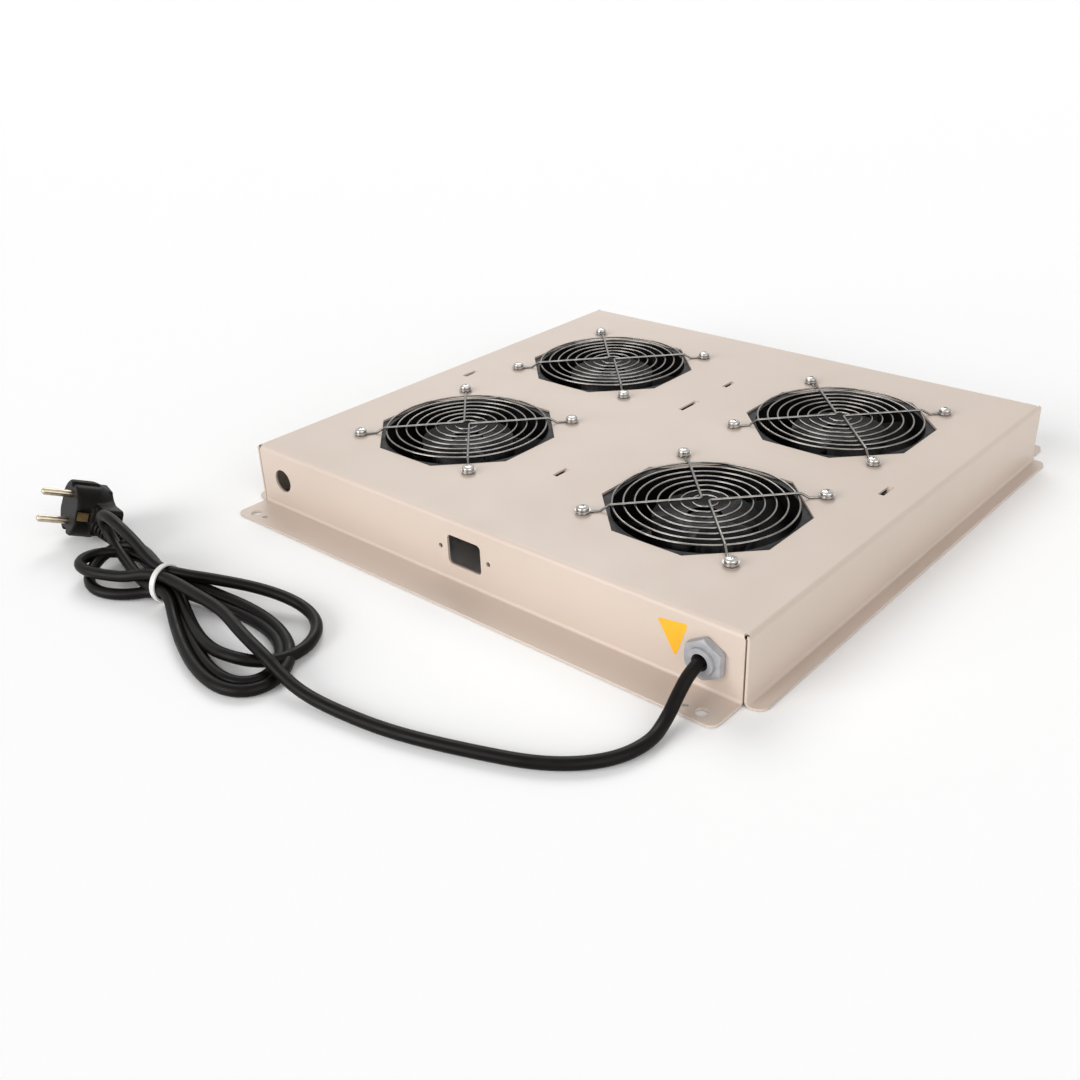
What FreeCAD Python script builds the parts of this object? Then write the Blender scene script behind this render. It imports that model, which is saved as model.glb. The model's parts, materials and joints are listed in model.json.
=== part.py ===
import FreeCAD, Part
import math
import os
import PartDesign
import Sketcher
from FreeCAD import Placement, Rotation, Vector

# Rack fan tray: a folded sheet-metal tray that carries four axial fans under wire finger guards,
# with a supply cord through a gland in its front wall.  The origin is the centre of the tray on
# the plane of its flanges, +Z is up and the front wall faces -Y.

os.makedirs("parts", exist_ok=True)
doc = FreeCAD.newDocument("rack_fan_tray")
sheet = doc.addObject("Spreadsheet::Sheet", "Sizes")


# Driving dimensions, in millimetres and degrees.

# Tray: one blank folded down on four sides, with flanges turned outwards.
tray_width = 400
tray_depth = 380
tray_height = 43
sheet_thickness = 1.5
top_bend = 3
foot_bend = 2
end_flange = 26
side_flange = 9.5
end_flange_corner = 5
side_flange_corner = 6
corner_gap = 1
side_setback = 0.2
relief_hole = 3

# Holes in the flanges, where the tray is fixed in its rack.
mount_inset_x = 12
mount_inset_y = 7.3
mount_hole = 7.2
small_hole_gap = 10
small_hole = 4

# Lances: strips pressed down from the plate, which cable ties are threaded through.
lance_width = 4
lance_length = 14
long_lance_length = 21.5
lance_depth = 3
lance_ramp = 3
side_lance_inset = 23
end_lance_inset = 92
long_lance_y = 45

# Fan places, from the tray's walls to the housings, and the openings above them.
fan_margin_x = 40
fan_margin_y = 48
opening_clearance = 1
fan_hole_inset = 7
fan_hole = 4.5

# Fan housing.
fan_size = 119
fan_depth = 38
fan_corner = 6
fan_flange = 4.5
duct_wall = 2
motor_base_radius = 32
motor_base = 3
strut_count = 4
strut_width = 7
strut_height = 4
strut_draft = 0.4
strut_overlap = 2
strut_bite = 0.5
bearing_tube_radius = 5.5
bearing_tube_height = 24

# Rotor: impeller on a steel cup, which the shaft carries in two bearings.
tip_clearance = 1.2
impeller_gap = 3
hub_radius = 32
hub_wall = 1.6
hub_height = 27
hub_eye = 11
blade_count = 5
blade_thickness = 1.6
blade_low = 2
root_share = 0.6
root_trailing = -15
root_leading = 13
root_rise = 23
root_sag = 3
tip_trailing = -30
tip_leading = 24
tip_rise = 21.5
tip_sag = 5
rest_angle = 17
rest_step = 31
cup_clearance = 0.1
cup_wall = 1.5
cup_boss = 1.5
cup_rim = 1
air_gap = 0.6
stack_height = 11
stack_slots = 8
stack_slot_half = 1.6
stack_core = 0.55
winding_height = 3.5
winding_inset = 4
stator_gap = 1
shaft_radius = 2
bearing_fit = 0.05
bearing_radius = 4
bearing_height = 4

# Finger guard, bent and welded from wire.
ring_count = 8
guard_inner = 7.9
guard_inset = 3.8
ring_wire = 1.3
spoke_wire = 1.6
guard_lift = 2.25
spoke_bend = 4
step_bend = 2
step_run = 1.5
eye_play = 0.4

# Fan fasteners.
screw_thread = 4
screw_head = 8
screw_head_height = 2.6
screw_length = 16
screw_recess = 1.5
washer_radius = 5
washer_thickness = 0.8
nut_across = 7
nut_height = 3.2

# Cable gland, its empty twin hole and the inlet cut-out.
gland_inset = 24.5
gland_z = 21.5
gland_thread = 16
gland_hole = 16.3
gland_bore = 10
gland_across = 22
locknut_height = 5.5
thread_stand = 2
gland_hex_height = 5
gland_stem = 11
dome_length = 17
seal_length = 8
inlet_width = 27.5
inlet_height = 20
inlet_corner = 3
inlet_z = 22.3
inlet_screw_pitch = 40
inlet_screw_hole = 3.3

# Wiring inside the tray: offsets are from the gland's axis, setbacks from the front wall.
block_offset = 67.5
block_setback = 23.5
block_length = 42
block_width = 22
block_height = 15
block_stand = 2
terminal_pitch = 10
terminal_radius = 2.8
block_base = 5
block_corner = 1
terminal_height = 5.5
terminal_wall = 0.9
clamp_half = 6.5
clamp_screw = 1.9
block_step = 7.2
stud_radius = 1.5
stud_inset = 3.6
stud_collar = 3
stud_nut_across = 5.5
stud_nut_height = 2.4
stud_clearance = 0.1
earth_crimp = 11
earth_offset = 29.5
earth_setback = 12.5
earth_radius = 2.5
earth_stud_length = 14
earth_nut_level = 5
earth_tab = 0.8
fan_lead = 4
earth_wire = 2.4
tie_thickness = 1.1
tie_width = 3.4
tie_lock = 3.2
tie_lock_length = 4.4
tie_lock_side = 0.7
tie_play = 0.1

# Supply cord, the tie round its hank, and its plug, which lies on its side at plug_x, plug_y.
cord = 7.2
hank_x = -134
hank_y = -313
hank_heading = 14
hank_rounding = 5
hank_tie_thickness = 1
hank_tie_width = 3.4
plug_x = -254.7
plug_y = -306.3
plug_z = 24.1
plug_heading = 254.9
plug_pitch = 23
plug_radius = 19
plug_depth = 25
plug_straight = 15
plug_rear_radius = 14.5
plug_flat = 17.3
plug_edge = 1
guide_width = 5.5
guide_depth = 2.4
guide_length = 17
neck_width = 15
neck_low = -12
neck_high = 9
neck_end = 20
grip_reach = 34
grip_width = 12
grip_top = 11.5
pin_radius = 2.4
pin_length = 19
pin_pitch = 19
pin_root = 6
pin_tip = 1.4
sleeve_start = 17
sleeve_drop = -5
sleeve_level = -16
sleeve_length = 29
sleeve_root = 6.6
sleeve_tip = 4.9
sleeve_ribs = 8
sleeve_groove = 1
earth_strip = 0.8
earth_strip_width = 6
earth_recess_width = 8.5
earth_recess_depth = 2


class Size:
    """A dimension: its value, and the sheet formula that a property is bound to."""

    def __init__(self, value, formula):
        self.value = float(value)
        self.formula = formula

    def __float__(self):
        return self.value

    def _join(self, left, sign, right):
        left, right = as_size(left), as_size(right)
        value = {"+": left.value + right.value, "-": left.value - right.value,
                 "*": left.value * right.value}.get(sign)
        if sign == "/":
            value = left.value / right.value
        return Size(value, "(%s %s %s)" % (left.formula, sign, right.formula))

    def __add__(self, other):
        return self._join(self, "+", other)

    def __radd__(self, other):
        return self._join(other, "+", self)

    def __sub__(self, other):
        return self._join(self, "-", other)

    def __rsub__(self, other):
        return self._join(other, "-", self)

    def __mul__(self, other):
        return self._join(self, "*", other)

    def __rmul__(self, other):
        return self._join(other, "*", self)

    def __truediv__(self, other):
        return self._join(self, "/", other)

    def __neg__(self):
        return self._join(0, "-", self)


def as_size(number):
    return number if isinstance(number, Size) else Size(number, "%.9g" % number)


# Every number named above gets a row of the sheet, and its name then stands for that row.
numbers = {name: value for name, value in globals().items() if isinstance(value, (int, float))}
for row, (name, value) in enumerate(numbers.items(), 1):
    sheet.set("A%d" % row, name)
    sheet.set("B%d" % row, str(value))
    sheet.setAlias("B%d" % row, name)
    globals()[name] = Size(value, "Sizes." + name)

# Planes and levels that several pieces share.
half_width = tray_width / 2
half_depth = tray_depth / 2
plate_under = tray_height - sheet_thickness
front_outside = -half_depth
front_inside = sheet_thickness - half_depth
sheet_cut = sheet_thickness * 2.2
thread_end = front_outside - locknut_height - thread_stand
gland_x = half_width - gland_inset
side_lance_x = half_width - side_lance_inset
end_lance_y = half_depth - end_lance_inset
fan_pitch_x = (half_width - fan_margin_x) * 2 - fan_size
fan_pitch_y = (half_depth - fan_margin_y) * 2 - fan_size
fan_hole_pitch = fan_size - fan_hole_inset * 2
opening_across = fan_size + opening_clearance
guard_outer = opening_across / 2 - guard_inset
flange_half = half_width - sheet_thickness - corner_gap
mount_x = flange_half - mount_inset_x
mount_y = half_depth + end_flange - mount_inset_y
fan_floor = plate_under - fan_depth
duct_outer = fan_size / 2
duct_bore = duct_outer - duct_wall
block_x = gland_x - block_offset
block_y = front_inside + block_setback
block_low = plate_under - block_stand - block_height
terminal_level = block_low + terminal_height
earth_x = gland_x - earth_offset
earth_y = front_inside + earth_setback
earth_flat = plate_under - earth_nut_level - earth_tab
lead_level = tray_height - lance_depth - sheet_thickness - fan_lead / 2 - 0.1
plug_turn = Rotation(Vector(0, 0, 1), float(plug_heading) - 270)
plug_turn = plug_turn.multiply(Rotation(Vector(1, 0, 0), 90 - float(plug_pitch)))
FANS = {"front_left": (-1, -1), "front_right": (1, -1), "rear_left": (-1, 1), "rear_right": (1, 1)}
CORNERS = [(-1, -1), (1, -1), (1, 1), (-1, 1)]
nodes = []


# ---------------------------------------------------------------- helpers for building objects

def bind(thing, prop, size):
    """Set a property, and tie it to the sheet where the size comes from there."""
    size = as_size(size)
    if "." not in prop:
        setattr(thing, prop, size.value)
    thing.setExpression(prop, size.formula)


def place(thing, x=0, y=0, z=0, rotation=None):
    """Give a sub-part its Placement, tied to the sheet."""
    if rotation is not None:
        thing.Placement = Placement(Vector(0, 0, 0), rotation)
    for axis, size in zip("xyz", (x, y, z)):
        bind(thing, "Placement.Base." + axis, size)


def new_body(label):
    body = doc.addObject("PartDesign::Body", label)
    body.Label = label
    if hasattr(body, "AllowCompound"):
        body.AllowCompound = True
    nodes.append(body)
    return body


def new_sketch(body, plane, lift=None):
    """A sketch on one of the body's own origin planes, moved along the plane's normal by lift."""
    sketch = body.newObject("Sketcher::SketchObject", body.Name + "_outline")
    support = [f for f in body.Origin.OriginFeatures if f.Role == plane + "_Plane"][0]
    sketch.AttachmentSupport = [(support, "")]
    sketch.MapMode = "FlatFace"
    if lift is not None:
        bind(sketch, "AttachmentOffset.Base.z", lift)
    return sketch


def pin_point(sketch, geometry, position, u, v):
    """Hold a point of the sketch at (u, v)."""
    for kind, axis, size in (("DistanceX", -2, as_size(u)), ("DistanceY", -1, as_size(v))):
        if size.formula == "0":
            sketch.addConstraint(Sketcher.Constraint("PointOnObject", geometry, position, axis))
        else:
            number = sketch.addConstraint(
                Sketcher.Constraint(kind, -1, 1, geometry, position, size.value))
            sketch.setExpression("Constraints[%d]" % number, size.formula)


def set_radius(sketch, geometry, radius):
    number = sketch.addConstraint(Sketcher.Constraint("Radius", geometry, float(radius)))
    sketch.setExpression("Constraints[%d]" % number, as_size(radius).formula)


def circle(sketch, u, v, radius):
    centre = Vector(float(u), float(v), 0)
    shape = Part.Circle(centre, Vector(0, 0, 1), float(radius))
    geometry = sketch.addGeometry(shape, False)
    pin_point(sketch, geometry, 3, u, v)
    set_radius(sketch, geometry, radius)


def arc_between(start, end, radius, anticlockwise):
    """The arc of under half a turn from start to end, as FreeCAD keeps it: anticlockwise."""
    if not anticlockwise:
        start, end = end, start
    middle = (start + end) * 0.5
    chord = end - start
    height = math.sqrt(max(radius ** 2 - chord.Length ** 2 / 4, 0))
    normal = Vector(-chord.y, chord.x, 0).normalize()
    centre = middle + normal * height
    first = math.atan2(start.y - centre.y, start.x - centre.x)
    last = math.atan2(end.y - centre.y, end.x - centre.x)
    if last < first:
        last += 2 * math.pi
    return Part.ArcOfCircle(Part.Circle(centre, Vector(0, 0, 1), radius), first, last)


def outline(sketch, corners):
    """A closed outline through corners (u, v).  A corner (u, v, radius) starts an arc to the next
    one, anticlockwise for a positive radius and clockwise for a negative one."""
    points = [Vector(float(c[0]), float(c[1]), 0) for c in corners]
    starts, ends = [], []
    for index, corner in enumerate(corners):
        start, end = points[index], points[(index + 1) % len(points)]
        radius = corner[2] if len(corner) == 3 else None
        if radius is None:
            geometry = sketch.addGeometry(Part.LineSegment(start, end), False)
            starts.append((geometry, 1))
            ends.append((geometry, 2))
            continue
        forward = float(radius) > 0
        arc = arc_between(start, end, abs(float(radius)), forward)
        geometry = sketch.addGeometry(arc, False)
        starts.append((geometry, 1 if forward else 2))
        ends.append((geometry, 2 if forward else 1))
        set_radius(sketch, geometry, radius if forward else -radius)
    for index, corner in enumerate(corners):
        following = starts[(index + 1) % len(corners)]
        sketch.addConstraint(Sketcher.Constraint("Coincident", *ends[index], *following))
        pin_point(sketch, *starts[index], corner[0], corner[1])


def box_outline(sketch, left, right, low, high, radius=None):
    """A rectangle, with rounded corners where a radius is given."""
    if radius is None:
        outline(sketch, [(left, low), (right, low), (right, high), (left, high)])
        return
    outline(sketch, [(left + radius, low), (right - radius, low, radius),
                     (right, low + radius), (right, high - radius, radius),
                     (right - radius, high), (left + radius, high, radius),
                     (left, high - radius), (left, low + radius, radius)])


def hexagon(sketch, u, v, across):
    """A hexagon with two flats square to the first axis."""
    half = across / 2
    side = half / math.sqrt(3)
    corners = [(half, -side), (half, side), (0, side * 2), (-half, side), (-half, -side),
               (0, side * -2)]
    outline(sketch, [(as_size(u) + a, as_size(v) + b) for a, b in corners])


def extrude(body, kind, sketch, length, side):
    feature = body.newObject("PartDesign::" + kind, body.Name + "_" + kind.lower())
    feature.Profile = sketch
    bind(feature, "Length", length)
    feature.SideType = "Symmetric" if side == 0 else "One side"
    feature.Reversed = side < 0 if kind == "Pad" else side > 0
    return feature


def pad(body, sketch, length, side=1):
    """Add material: side 1 is along the plane's normal, -1 against it, 0 both ways."""
    return extrude(body, "Pad", sketch, length, side)


def pocket(body, sketch, length, side=0):
    """Cut material away, with the sides named as for a pad."""
    return extrude(body, "Pocket", sketch, length, side)


def turn(body, sketch, kind="Revolution"):
    """Revolve a sketch on the XZ plane about its vertical axis."""
    feature = body.newObject("PartDesign::" + kind, body.Name + "_turned")
    feature.Profile = sketch
    feature.ReferenceAxis = (sketch, ["V_Axis"])
    feature.Angle = 360
    return feature


def around_axis(body, features, count):
    """Repeat features evenly about the body's Z axis."""
    pattern = body.newObject("PartDesign::PolarPattern", body.Name + "_pattern")
    pattern.Originals = features
    pattern.Axis = ([f for f in body.Origin.OriginFeatures if f.Role == "Z_Axis"][0], [""])
    pattern.Angle = 360
    pattern.Occurrences = count
    body.Tip = pattern
    return pattern


def mirrored(body, features, plane):
    mirror = body.newObject("PartDesign::Mirrored", body.Name + "_mirrored")
    mirror.Originals = features
    mirror.MirrorPlane = ([f for f in body.Origin.OriginFeatures if f.Role == plane + "_Plane"][0],
                          [""])
    body.Tip = mirror
    return mirror


def solid_node(label, shape):
    """A sub-part whose shape is built with Part's own functions."""
    feature = doc.addObject("Part::Feature", label)
    feature.Label = label
    feature.Shape = shape
    nodes.append(feature)
    return feature


def fan_centre(name):
    """Centre of one fan, as two sizes."""
    right, back = FANS[name]
    return fan_pitch_x / 2 * right, fan_pitch_y / 2 * back


# ---------------------------------------------------------------- tray

def end_wall(body):
    """Front wall with its bends and flange, drawn from the side."""
    t, inner, outer = sheet_thickness, foot_bend, top_bend
    y = -half_depth
    foot = y - inner
    sketch = new_sketch(body, "YZ")
    outline(sketch, [(y + outer, tray_height, outer), (y, tray_height - outer),
                     (y, t + inner, -inner), (foot, t), (y - end_flange, t),
                     (y - end_flange, 0), (foot, 0, inner + t), (y + t, t + inner),
                     (y + t, tray_height - outer, -(outer - t)), (y + outer, plate_under)])
    wall = pad(body, sketch, flange_half * 2, 0)
    mirrored(body, [wall], "XZ")


def side_wall(body):
    """Side wall with its bends and narrow flange, drawn from the front."""
    t, inner, outer = sheet_thickness, foot_bend, top_bend
    x = -half_width
    foot = x - inner
    sketch = new_sketch(body, "XZ")
    outline(sketch, [(x + outer, tray_height, outer), (x, tray_height - outer),
                     (x, t + inner, -inner), (foot, t), (x - side_flange, t),
                     (x - side_flange, 0), (foot, 0, inner + t), (x + t, t + inner),
                     (x + t, tray_height - outer, -(outer - t)), (x + outer, plate_under)])
    wall = pad(body, sketch, (half_depth - side_setback) * 2, 0)
    mirrored(body, [wall], "YZ")


def lance(body, x, y, length):
    """One strip pressed down from the plate and still joined to it at both ends."""
    sketch = new_sketch(body, "XY", plate_under)
    box_outline(sketch, x - lance_width / 2, x + lance_width / 2, y - length / 2, y + length / 2)
    slot = pocket(body, sketch, sheet_cut)
    half = length / 2
    top, low = tray_height, tray_height - lance_depth
    t = sheet_thickness
    strip = new_sketch(body, "YZ", x)
    outline(strip, [(y - half, top), (y - half + lance_ramp, low), (y + half - lance_ramp, low),
                    (y + half, top), (y + half, top - t), (y + half - lance_ramp, low - t),
                    (y - half + lance_ramp, low - t), (y - half, top - t)])
    pad(body, strip, lance_width, 0)
    return slot


def tray_housing():
    body = new_body("tray_housing")
    plate = new_sketch(body, "XY", plate_under)
    box_outline(plate, top_bend - half_width, half_width - top_bend,
                top_bend - half_depth, half_depth - top_bend)
    pad(body, plate, sheet_thickness)
    end_wall(body)
    side_wall(body)

    # Rounded outer corners of the end flanges, and of the narrow side flanges.
    cuts = new_sketch(body, "XY")
    for right, back in CORNERS:
        r = end_flange_corner
        x = flange_half * right
        y = (half_depth + end_flange) * back
        turn_way = r * (right * back)
        outline(cuts, [(x - r * right, y, -turn_way), (x, y - r * back),
                       (x + right, y - r * back), (x + right, y + back), (x - r * right, y + back)])
        r = side_flange_corner
        x = (half_width + side_flange) * right
        y = (half_depth - side_setback) * back
        turn_way = r * (right * back)
        outline(cuts, [(x, y - r * back, turn_way), (x - r * right, y),
                       (x - r * right, y + back), (x + right, y + back), (x + right, y - r * back)])
    pocket(body, cuts, sheet_cut)

    # Relief holes where the corner slits end in the plate.
    reliefs = new_sketch(body, "XY", tray_height)
    for right, back in CORNERS:
        circle(reliefs, flange_half * right, (half_depth - sheet_thickness) * back, relief_hole / 2)
    pocket(body, reliefs, top_bend * 2)

    # Octagonal openings and the four screw holes of each fan.
    openings = new_sketch(body, "XY", tray_height)
    screw_holes = new_sketch(body, "XY", tray_height)
    for name in FANS:
        x, y = fan_centre(name)
        half = opening_across / 2
        side = half * math.tan(math.pi / 8)
        outline(openings, [(x + a, y + b) for a, b in
                           [(half, -side), (half, side), (side, half), (-side, half),
                            (-half, side), (-half, -side), (-side, -half), (side, -half)]])
        for right, back in CORNERS:
            circle(screw_holes, x + fan_hole_pitch / 2 * right, y + fan_hole_pitch / 2 * back,
                   fan_hole / 2)
    pocket(body, openings, sheet_cut)
    pocket(body, screw_holes, sheet_cut)

    # Fixing holes in the end flanges.
    flange_holes = new_sketch(body, "XY")
    for right, back in CORNERS:
        circle(flange_holes, mount_x * right, mount_y * back, mount_hole / 2)
        circle(flange_holes, (mount_x - small_hole_gap) * right, mount_y * back, small_hole / 2)
    pocket(body, flange_holes, sheet_cut)

    # Front wall: two gland holes, and the inlet cut-out with its two screw holes.
    front = new_sketch(body, "XZ", half_depth)
    circle(front, gland_x, gland_z, gland_hole / 2)
    circle(front, -gland_x, gland_z, gland_hole / 2)
    box_outline(front, -inlet_width / 2, inlet_width / 2, inlet_z - inlet_height / 2,
                inlet_z + inlet_height / 2, inlet_corner)
    for right in (-1, 1):
        circle(front, inlet_screw_pitch / 2 * right, inlet_z, inlet_screw_hole / 2)
    pocket(body, front, sheet_cut)

    for right in (-1, 1):
        lance(body, side_lance_x * right, as_size(0), lance_length)
    for back in (-1, 1):
        lance(body, as_size(0), end_lance_y * back, lance_length)
    lance(body, as_size(0), long_lance_y, long_lance_length)


# ---------------------------------------------------------------- fans

def fan_frame(name):
    """Die-cast housing: two square flanges on a round duct, with the motor base on four struts."""
    body = new_body("fan_frame_" + name)
    half = fan_size / 2
    for lift in (as_size(0), fan_depth - fan_flange):
        flange = new_sketch(body, "XY", lift)
        box_outline(flange, -half, half, -half, half, fan_corner)
        pad(body, flange, fan_flange)
        if lift.value == 0:
            duct = new_sketch(body, "XY")
            circle(duct, 0, 0, duct_outer)
            pad(body, duct, fan_depth)
    bore = new_sketch(body, "XY")
    circle(bore, 0, 0, duct_bore)
    pocket(body, bore, fan_depth * 2)

    base = new_sketch(body, "XY")
    circle(base, 0, 0, motor_base_radius)
    pad(body, base, motor_base)
    strut = new_sketch(body, "YZ", motor_base_radius - strut_overlap)
    foot = strut_width / 2
    crest = foot * strut_draft
    outline(strut, [(-foot, 0), (foot, 0), (crest, strut_height), (-crest, strut_height)])
    arm = pad(body, strut, duct_bore - motor_base_radius + strut_overlap + strut_bite)
    around_axis(body, [arm], int(float(strut_count)))
    tube = new_sketch(body, "XY")
    circle(tube, 0, 0, bearing_tube_radius)
    pad(body, tube, bearing_tube_height)
    socket = new_sketch(body, "XY", motor_base / 2)
    circle(socket, 0, 0, bearing_radius)
    pocket(body, socket, bearing_tube_height, 1)

    holes = new_sketch(body, "XY")
    for right, back in CORNERS:
        circle(holes, fan_hole_pitch / 2 * right, fan_hole_pitch / 2 * back, fan_hole / 2)
    pocket(body, holes, fan_depth * 2)
    x, y = fan_centre(name)
    place(body, x, y, fan_floor)


def blade_section(body, lift, trailing, leading, sag):
    """One section of a blade: a thin arched strip between two edges, at a distance from the axis."""
    sketch = new_sketch(body, "YZ", lift)
    (y0, z0), (y1, z1) = trailing, leading
    half_chord = math.hypot(float(y1 - y0), float(z1 - z0)) / 2
    radius = (half_chord ** 2 + float(sag) ** 2) / (2 * float(sag))
    t = blade_thickness
    outline(sketch, [(y0, z0, as_size(radius)), (y1, z1), (y1, z1 + t, as_size(-radius)),
                     (y0, z0 + t)])
    return sketch


def impeller(name, angle):
    """Hub shell with five swept blades, trimmed to a cylinder at the tips."""
    body = new_body("impeller_" + name)
    hub = new_sketch(body, "XY")
    circle(hub, 0, 0, hub_radius)
    pad(body, hub, hub_height)
    root = blade_section(body, hub_radius * root_share, (root_trailing, blade_low),
                         (root_leading, root_rise), root_sag)
    tip = blade_section(body, duct_outer, (tip_trailing, blade_low), (tip_leading, tip_rise), tip_sag)
    blade = body.newObject("PartDesign::AdditiveLoft", body.Name + "_blade")
    blade.Profile = root
    blade.Sections = [tip]
    around_axis(body, [blade], int(float(blade_count)))
    rim = new_sketch(body, "XY")
    circle(rim, 0, 0, fan_size)
    circle(rim, 0, 0, duct_bore - tip_clearance)
    pocket(body, rim, fan_depth * 2)
    hollow = new_sketch(body, "XY")
    circle(hollow, 0, 0, hub_radius - hub_wall)
    pocket(body, hollow, hub_height - hub_wall, 1)
    eye = new_sketch(body, "XY")
    circle(eye, 0, 0, hub_eye)
    pocket(body, eye, fan_depth * 2)
    x, y = fan_centre(name)
    place(body, x, y, fan_floor + motor_base + impeller_gap, Rotation(Vector(0, 0, 1), angle))


def cup_outline(body):
    """Half section of the rotor cup, with the boss that holds the shaft."""
    outer = hub_radius - hub_wall - cup_clearance
    inner = outer - cup_wall
    top = hub_height - hub_wall
    under = top - cup_wall
    boss = bearing_radius
    sketch = new_sketch(body, "XZ")
    low = under - cup_boss
    outline(sketch, [(shaft_radius, low), (boss, low), (boss, under), (inner, under),
                     (inner, cup_rim), (outer, cup_rim), (outer, top), (shaft_radius, top)])
    return sketch


def rotor_cup(name):
    body = new_body("rotor_cup_" + name)
    turn(body, cup_outline(body))
    x, y = fan_centre(name)
    place(body, x, y, fan_floor + motor_base + impeller_gap)


def shaft(name):
    body = new_body("shaft_" + name)
    sketch = new_sketch(body, "XY")
    circle(sketch, 0, 0, shaft_radius)
    top = motor_base + impeller_gap + hub_height - hub_wall
    pad(body, sketch, top - motor_base)
    x, y = fan_centre(name)
    place(body, x, y, fan_floor + motor_base)


def stator(name):
    """Laminated stack with eight slots, between two rings of winding."""
    body = new_body("stator_" + name)
    outer = hub_radius - hub_wall - cup_clearance - cup_wall - air_gap
    stack = new_sketch(body, "XY", winding_height)
    circle(stack, 0, 0, outer)
    circle(stack, 0, 0, bearing_tube_radius)
    pad(body, stack, stack_height)
    slot = new_sketch(body, "XY", winding_height)
    box_outline(slot, outer * stack_core, outer + air_gap, -stack_slot_half, stack_slot_half)
    cut = pocket(body, slot, stack_height, 1)
    around_axis(body, [cut], int(float(stack_slots)))
    winding = new_sketch(body, "XY")
    circle(winding, 0, 0, outer - winding_inset)
    circle(winding, 0, 0, bearing_tube_radius)
    pad(body, winding, winding_height * 2 + stack_height)
    x, y = fan_centre(name)
    place(body, x, y, fan_floor + motor_base + stator_gap)


# ---------------------------------------------------------------- wire guards

def section_across(point, along, width, sides=6):
    """A regular polygon across a wire, one flat facing down."""
    side_way = Vector(0, 0, 1).cross(along)
    side_way.normalize()
    up = along.cross(side_way)
    up.normalize()
    radius = width / 2 / math.cos(math.pi / sides)
    corners = []
    for index in range(sides + 1):
        angle = 2 * math.pi * (index + 0.5) / sides - math.pi / 2
        corners.append(point + side_way * (radius * math.cos(angle)) + up * (radius * math.sin(angle)))
    return Part.makePolygon(corners)


def rounded_path(points, radii):
    """Straight runs joined by tangent arcs: radii has one radius for each inner point."""
    edges, start = [], points[0]
    for index, radius in enumerate(radii, 1):
        before = (points[index - 1] - points[index]).normalize()
        after = (points[index + 1] - points[index]).normalize()
        half_turn = (math.pi - before.getAngle(after)) / 2
        reach = radius * math.tan(half_turn)
        first = points[index] + before * reach
        last = points[index] + after * reach
        middle = (before + after).normalize()
        bow = radius / math.cos(half_turn) - radius
        edges.append(Part.LineSegment(start, first).toShape())
        edges.append(Part.Arc(first, points[index] + middle * bow, last).toShape())
        start = last
    edges.append(Part.LineSegment(start, points[-1]).toShape())
    return Part.Wire(edges)


def guard_shape():
    """Eight rings under two V-shaped spoke wires, whose ends step down to an eye at each screw."""
    ring_radius = float(ring_wire) / 2
    spoke_radius = float(spoke_wire) / 2
    ring_level = float(guard_lift) + ring_radius
    spoke_level = ring_level + ring_radius + spoke_radius * 0.9
    pieces = []
    count = int(float(ring_count))
    pitch = (float(guard_outer) - float(guard_inner)) / (count - 1)
    for index in range(count):
        radius = float(guard_inner) + pitch * index
        section = section_across(Vector(radius, 0, ring_level), Vector(0, 1, 0), float(ring_wire))
        ring = Part.Face(section).revolve(Vector(0, 0, 0), Vector(0, 0, 1), 360)
        pieces.append(ring)
    hole = float(fan_hole_pitch) / 2 * math.sqrt(2)
    eye = float(screw_thread / 2 + eye_play) + spoke_radius
    step_end = hole - eye - float(step_run)
    step_start = float(guard_outer) + spoke_radius + 1
    bend, turned = float(spoke_bend), float(step_bend)
    for side in (1, -1):
        ways = [Vector(1, 1, 0).normalize() * side, Vector(1, -1, 0).normalize() * side]
        path = []
        for way in ways:
            profile = [(hole - eye + 0.6, spoke_radius), (step_end, spoke_radius),
                       (step_start, spoke_level)]
            path.append([way * r + Vector(0, 0, level) for r, level in profile])
        middle = Vector(side * bend * 0.6, 0, spoke_level)
        points = path[0] + [middle] + path[1][::-1]
        run = rounded_path(points, [turned, turned, bend, turned, turned])
        along = (points[1] - points[0]).normalize()
        section = section_across(points[0], along, float(spoke_wire))
        pieces.append(run.makePipeShell([section], True, False))
        for way in ways:
            centre = way * hole + Vector(0, 0, spoke_radius)
            section = section_across(centre + Vector(eye, 0, 0), Vector(0, 1, 0), float(spoke_wire))
            pieces.append(Part.Face(section).revolve(centre, Vector(0, 0, 1), 360))
    whole = pieces[0].fuse(pieces[1:])
    return whole.removeSplitter()


def finger_guards():
    shape = guard_shape()
    for name in FANS:
        x, y = fan_centre(name)
        place(solid_node("finger_guard_" + name, shape), x, y, tray_height)


# ---------------------------------------------------------------- fan fasteners and bearings

def at_fan_holes(master_shape, z):
    """Copies of a fastener at every fan screw, as one group of separate solids."""
    copies = []
    for name in FANS:
        x, y = fan_centre(name)
        for right, back in CORNERS:
            spot = Vector(x.value + right * fan_hole_pitch.value / 2,
                          y.value + back * fan_hole_pitch.value / 2, float(z))
            copies.append(master_shape.translated(spot))
    return Part.makeCompound(copies)


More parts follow.
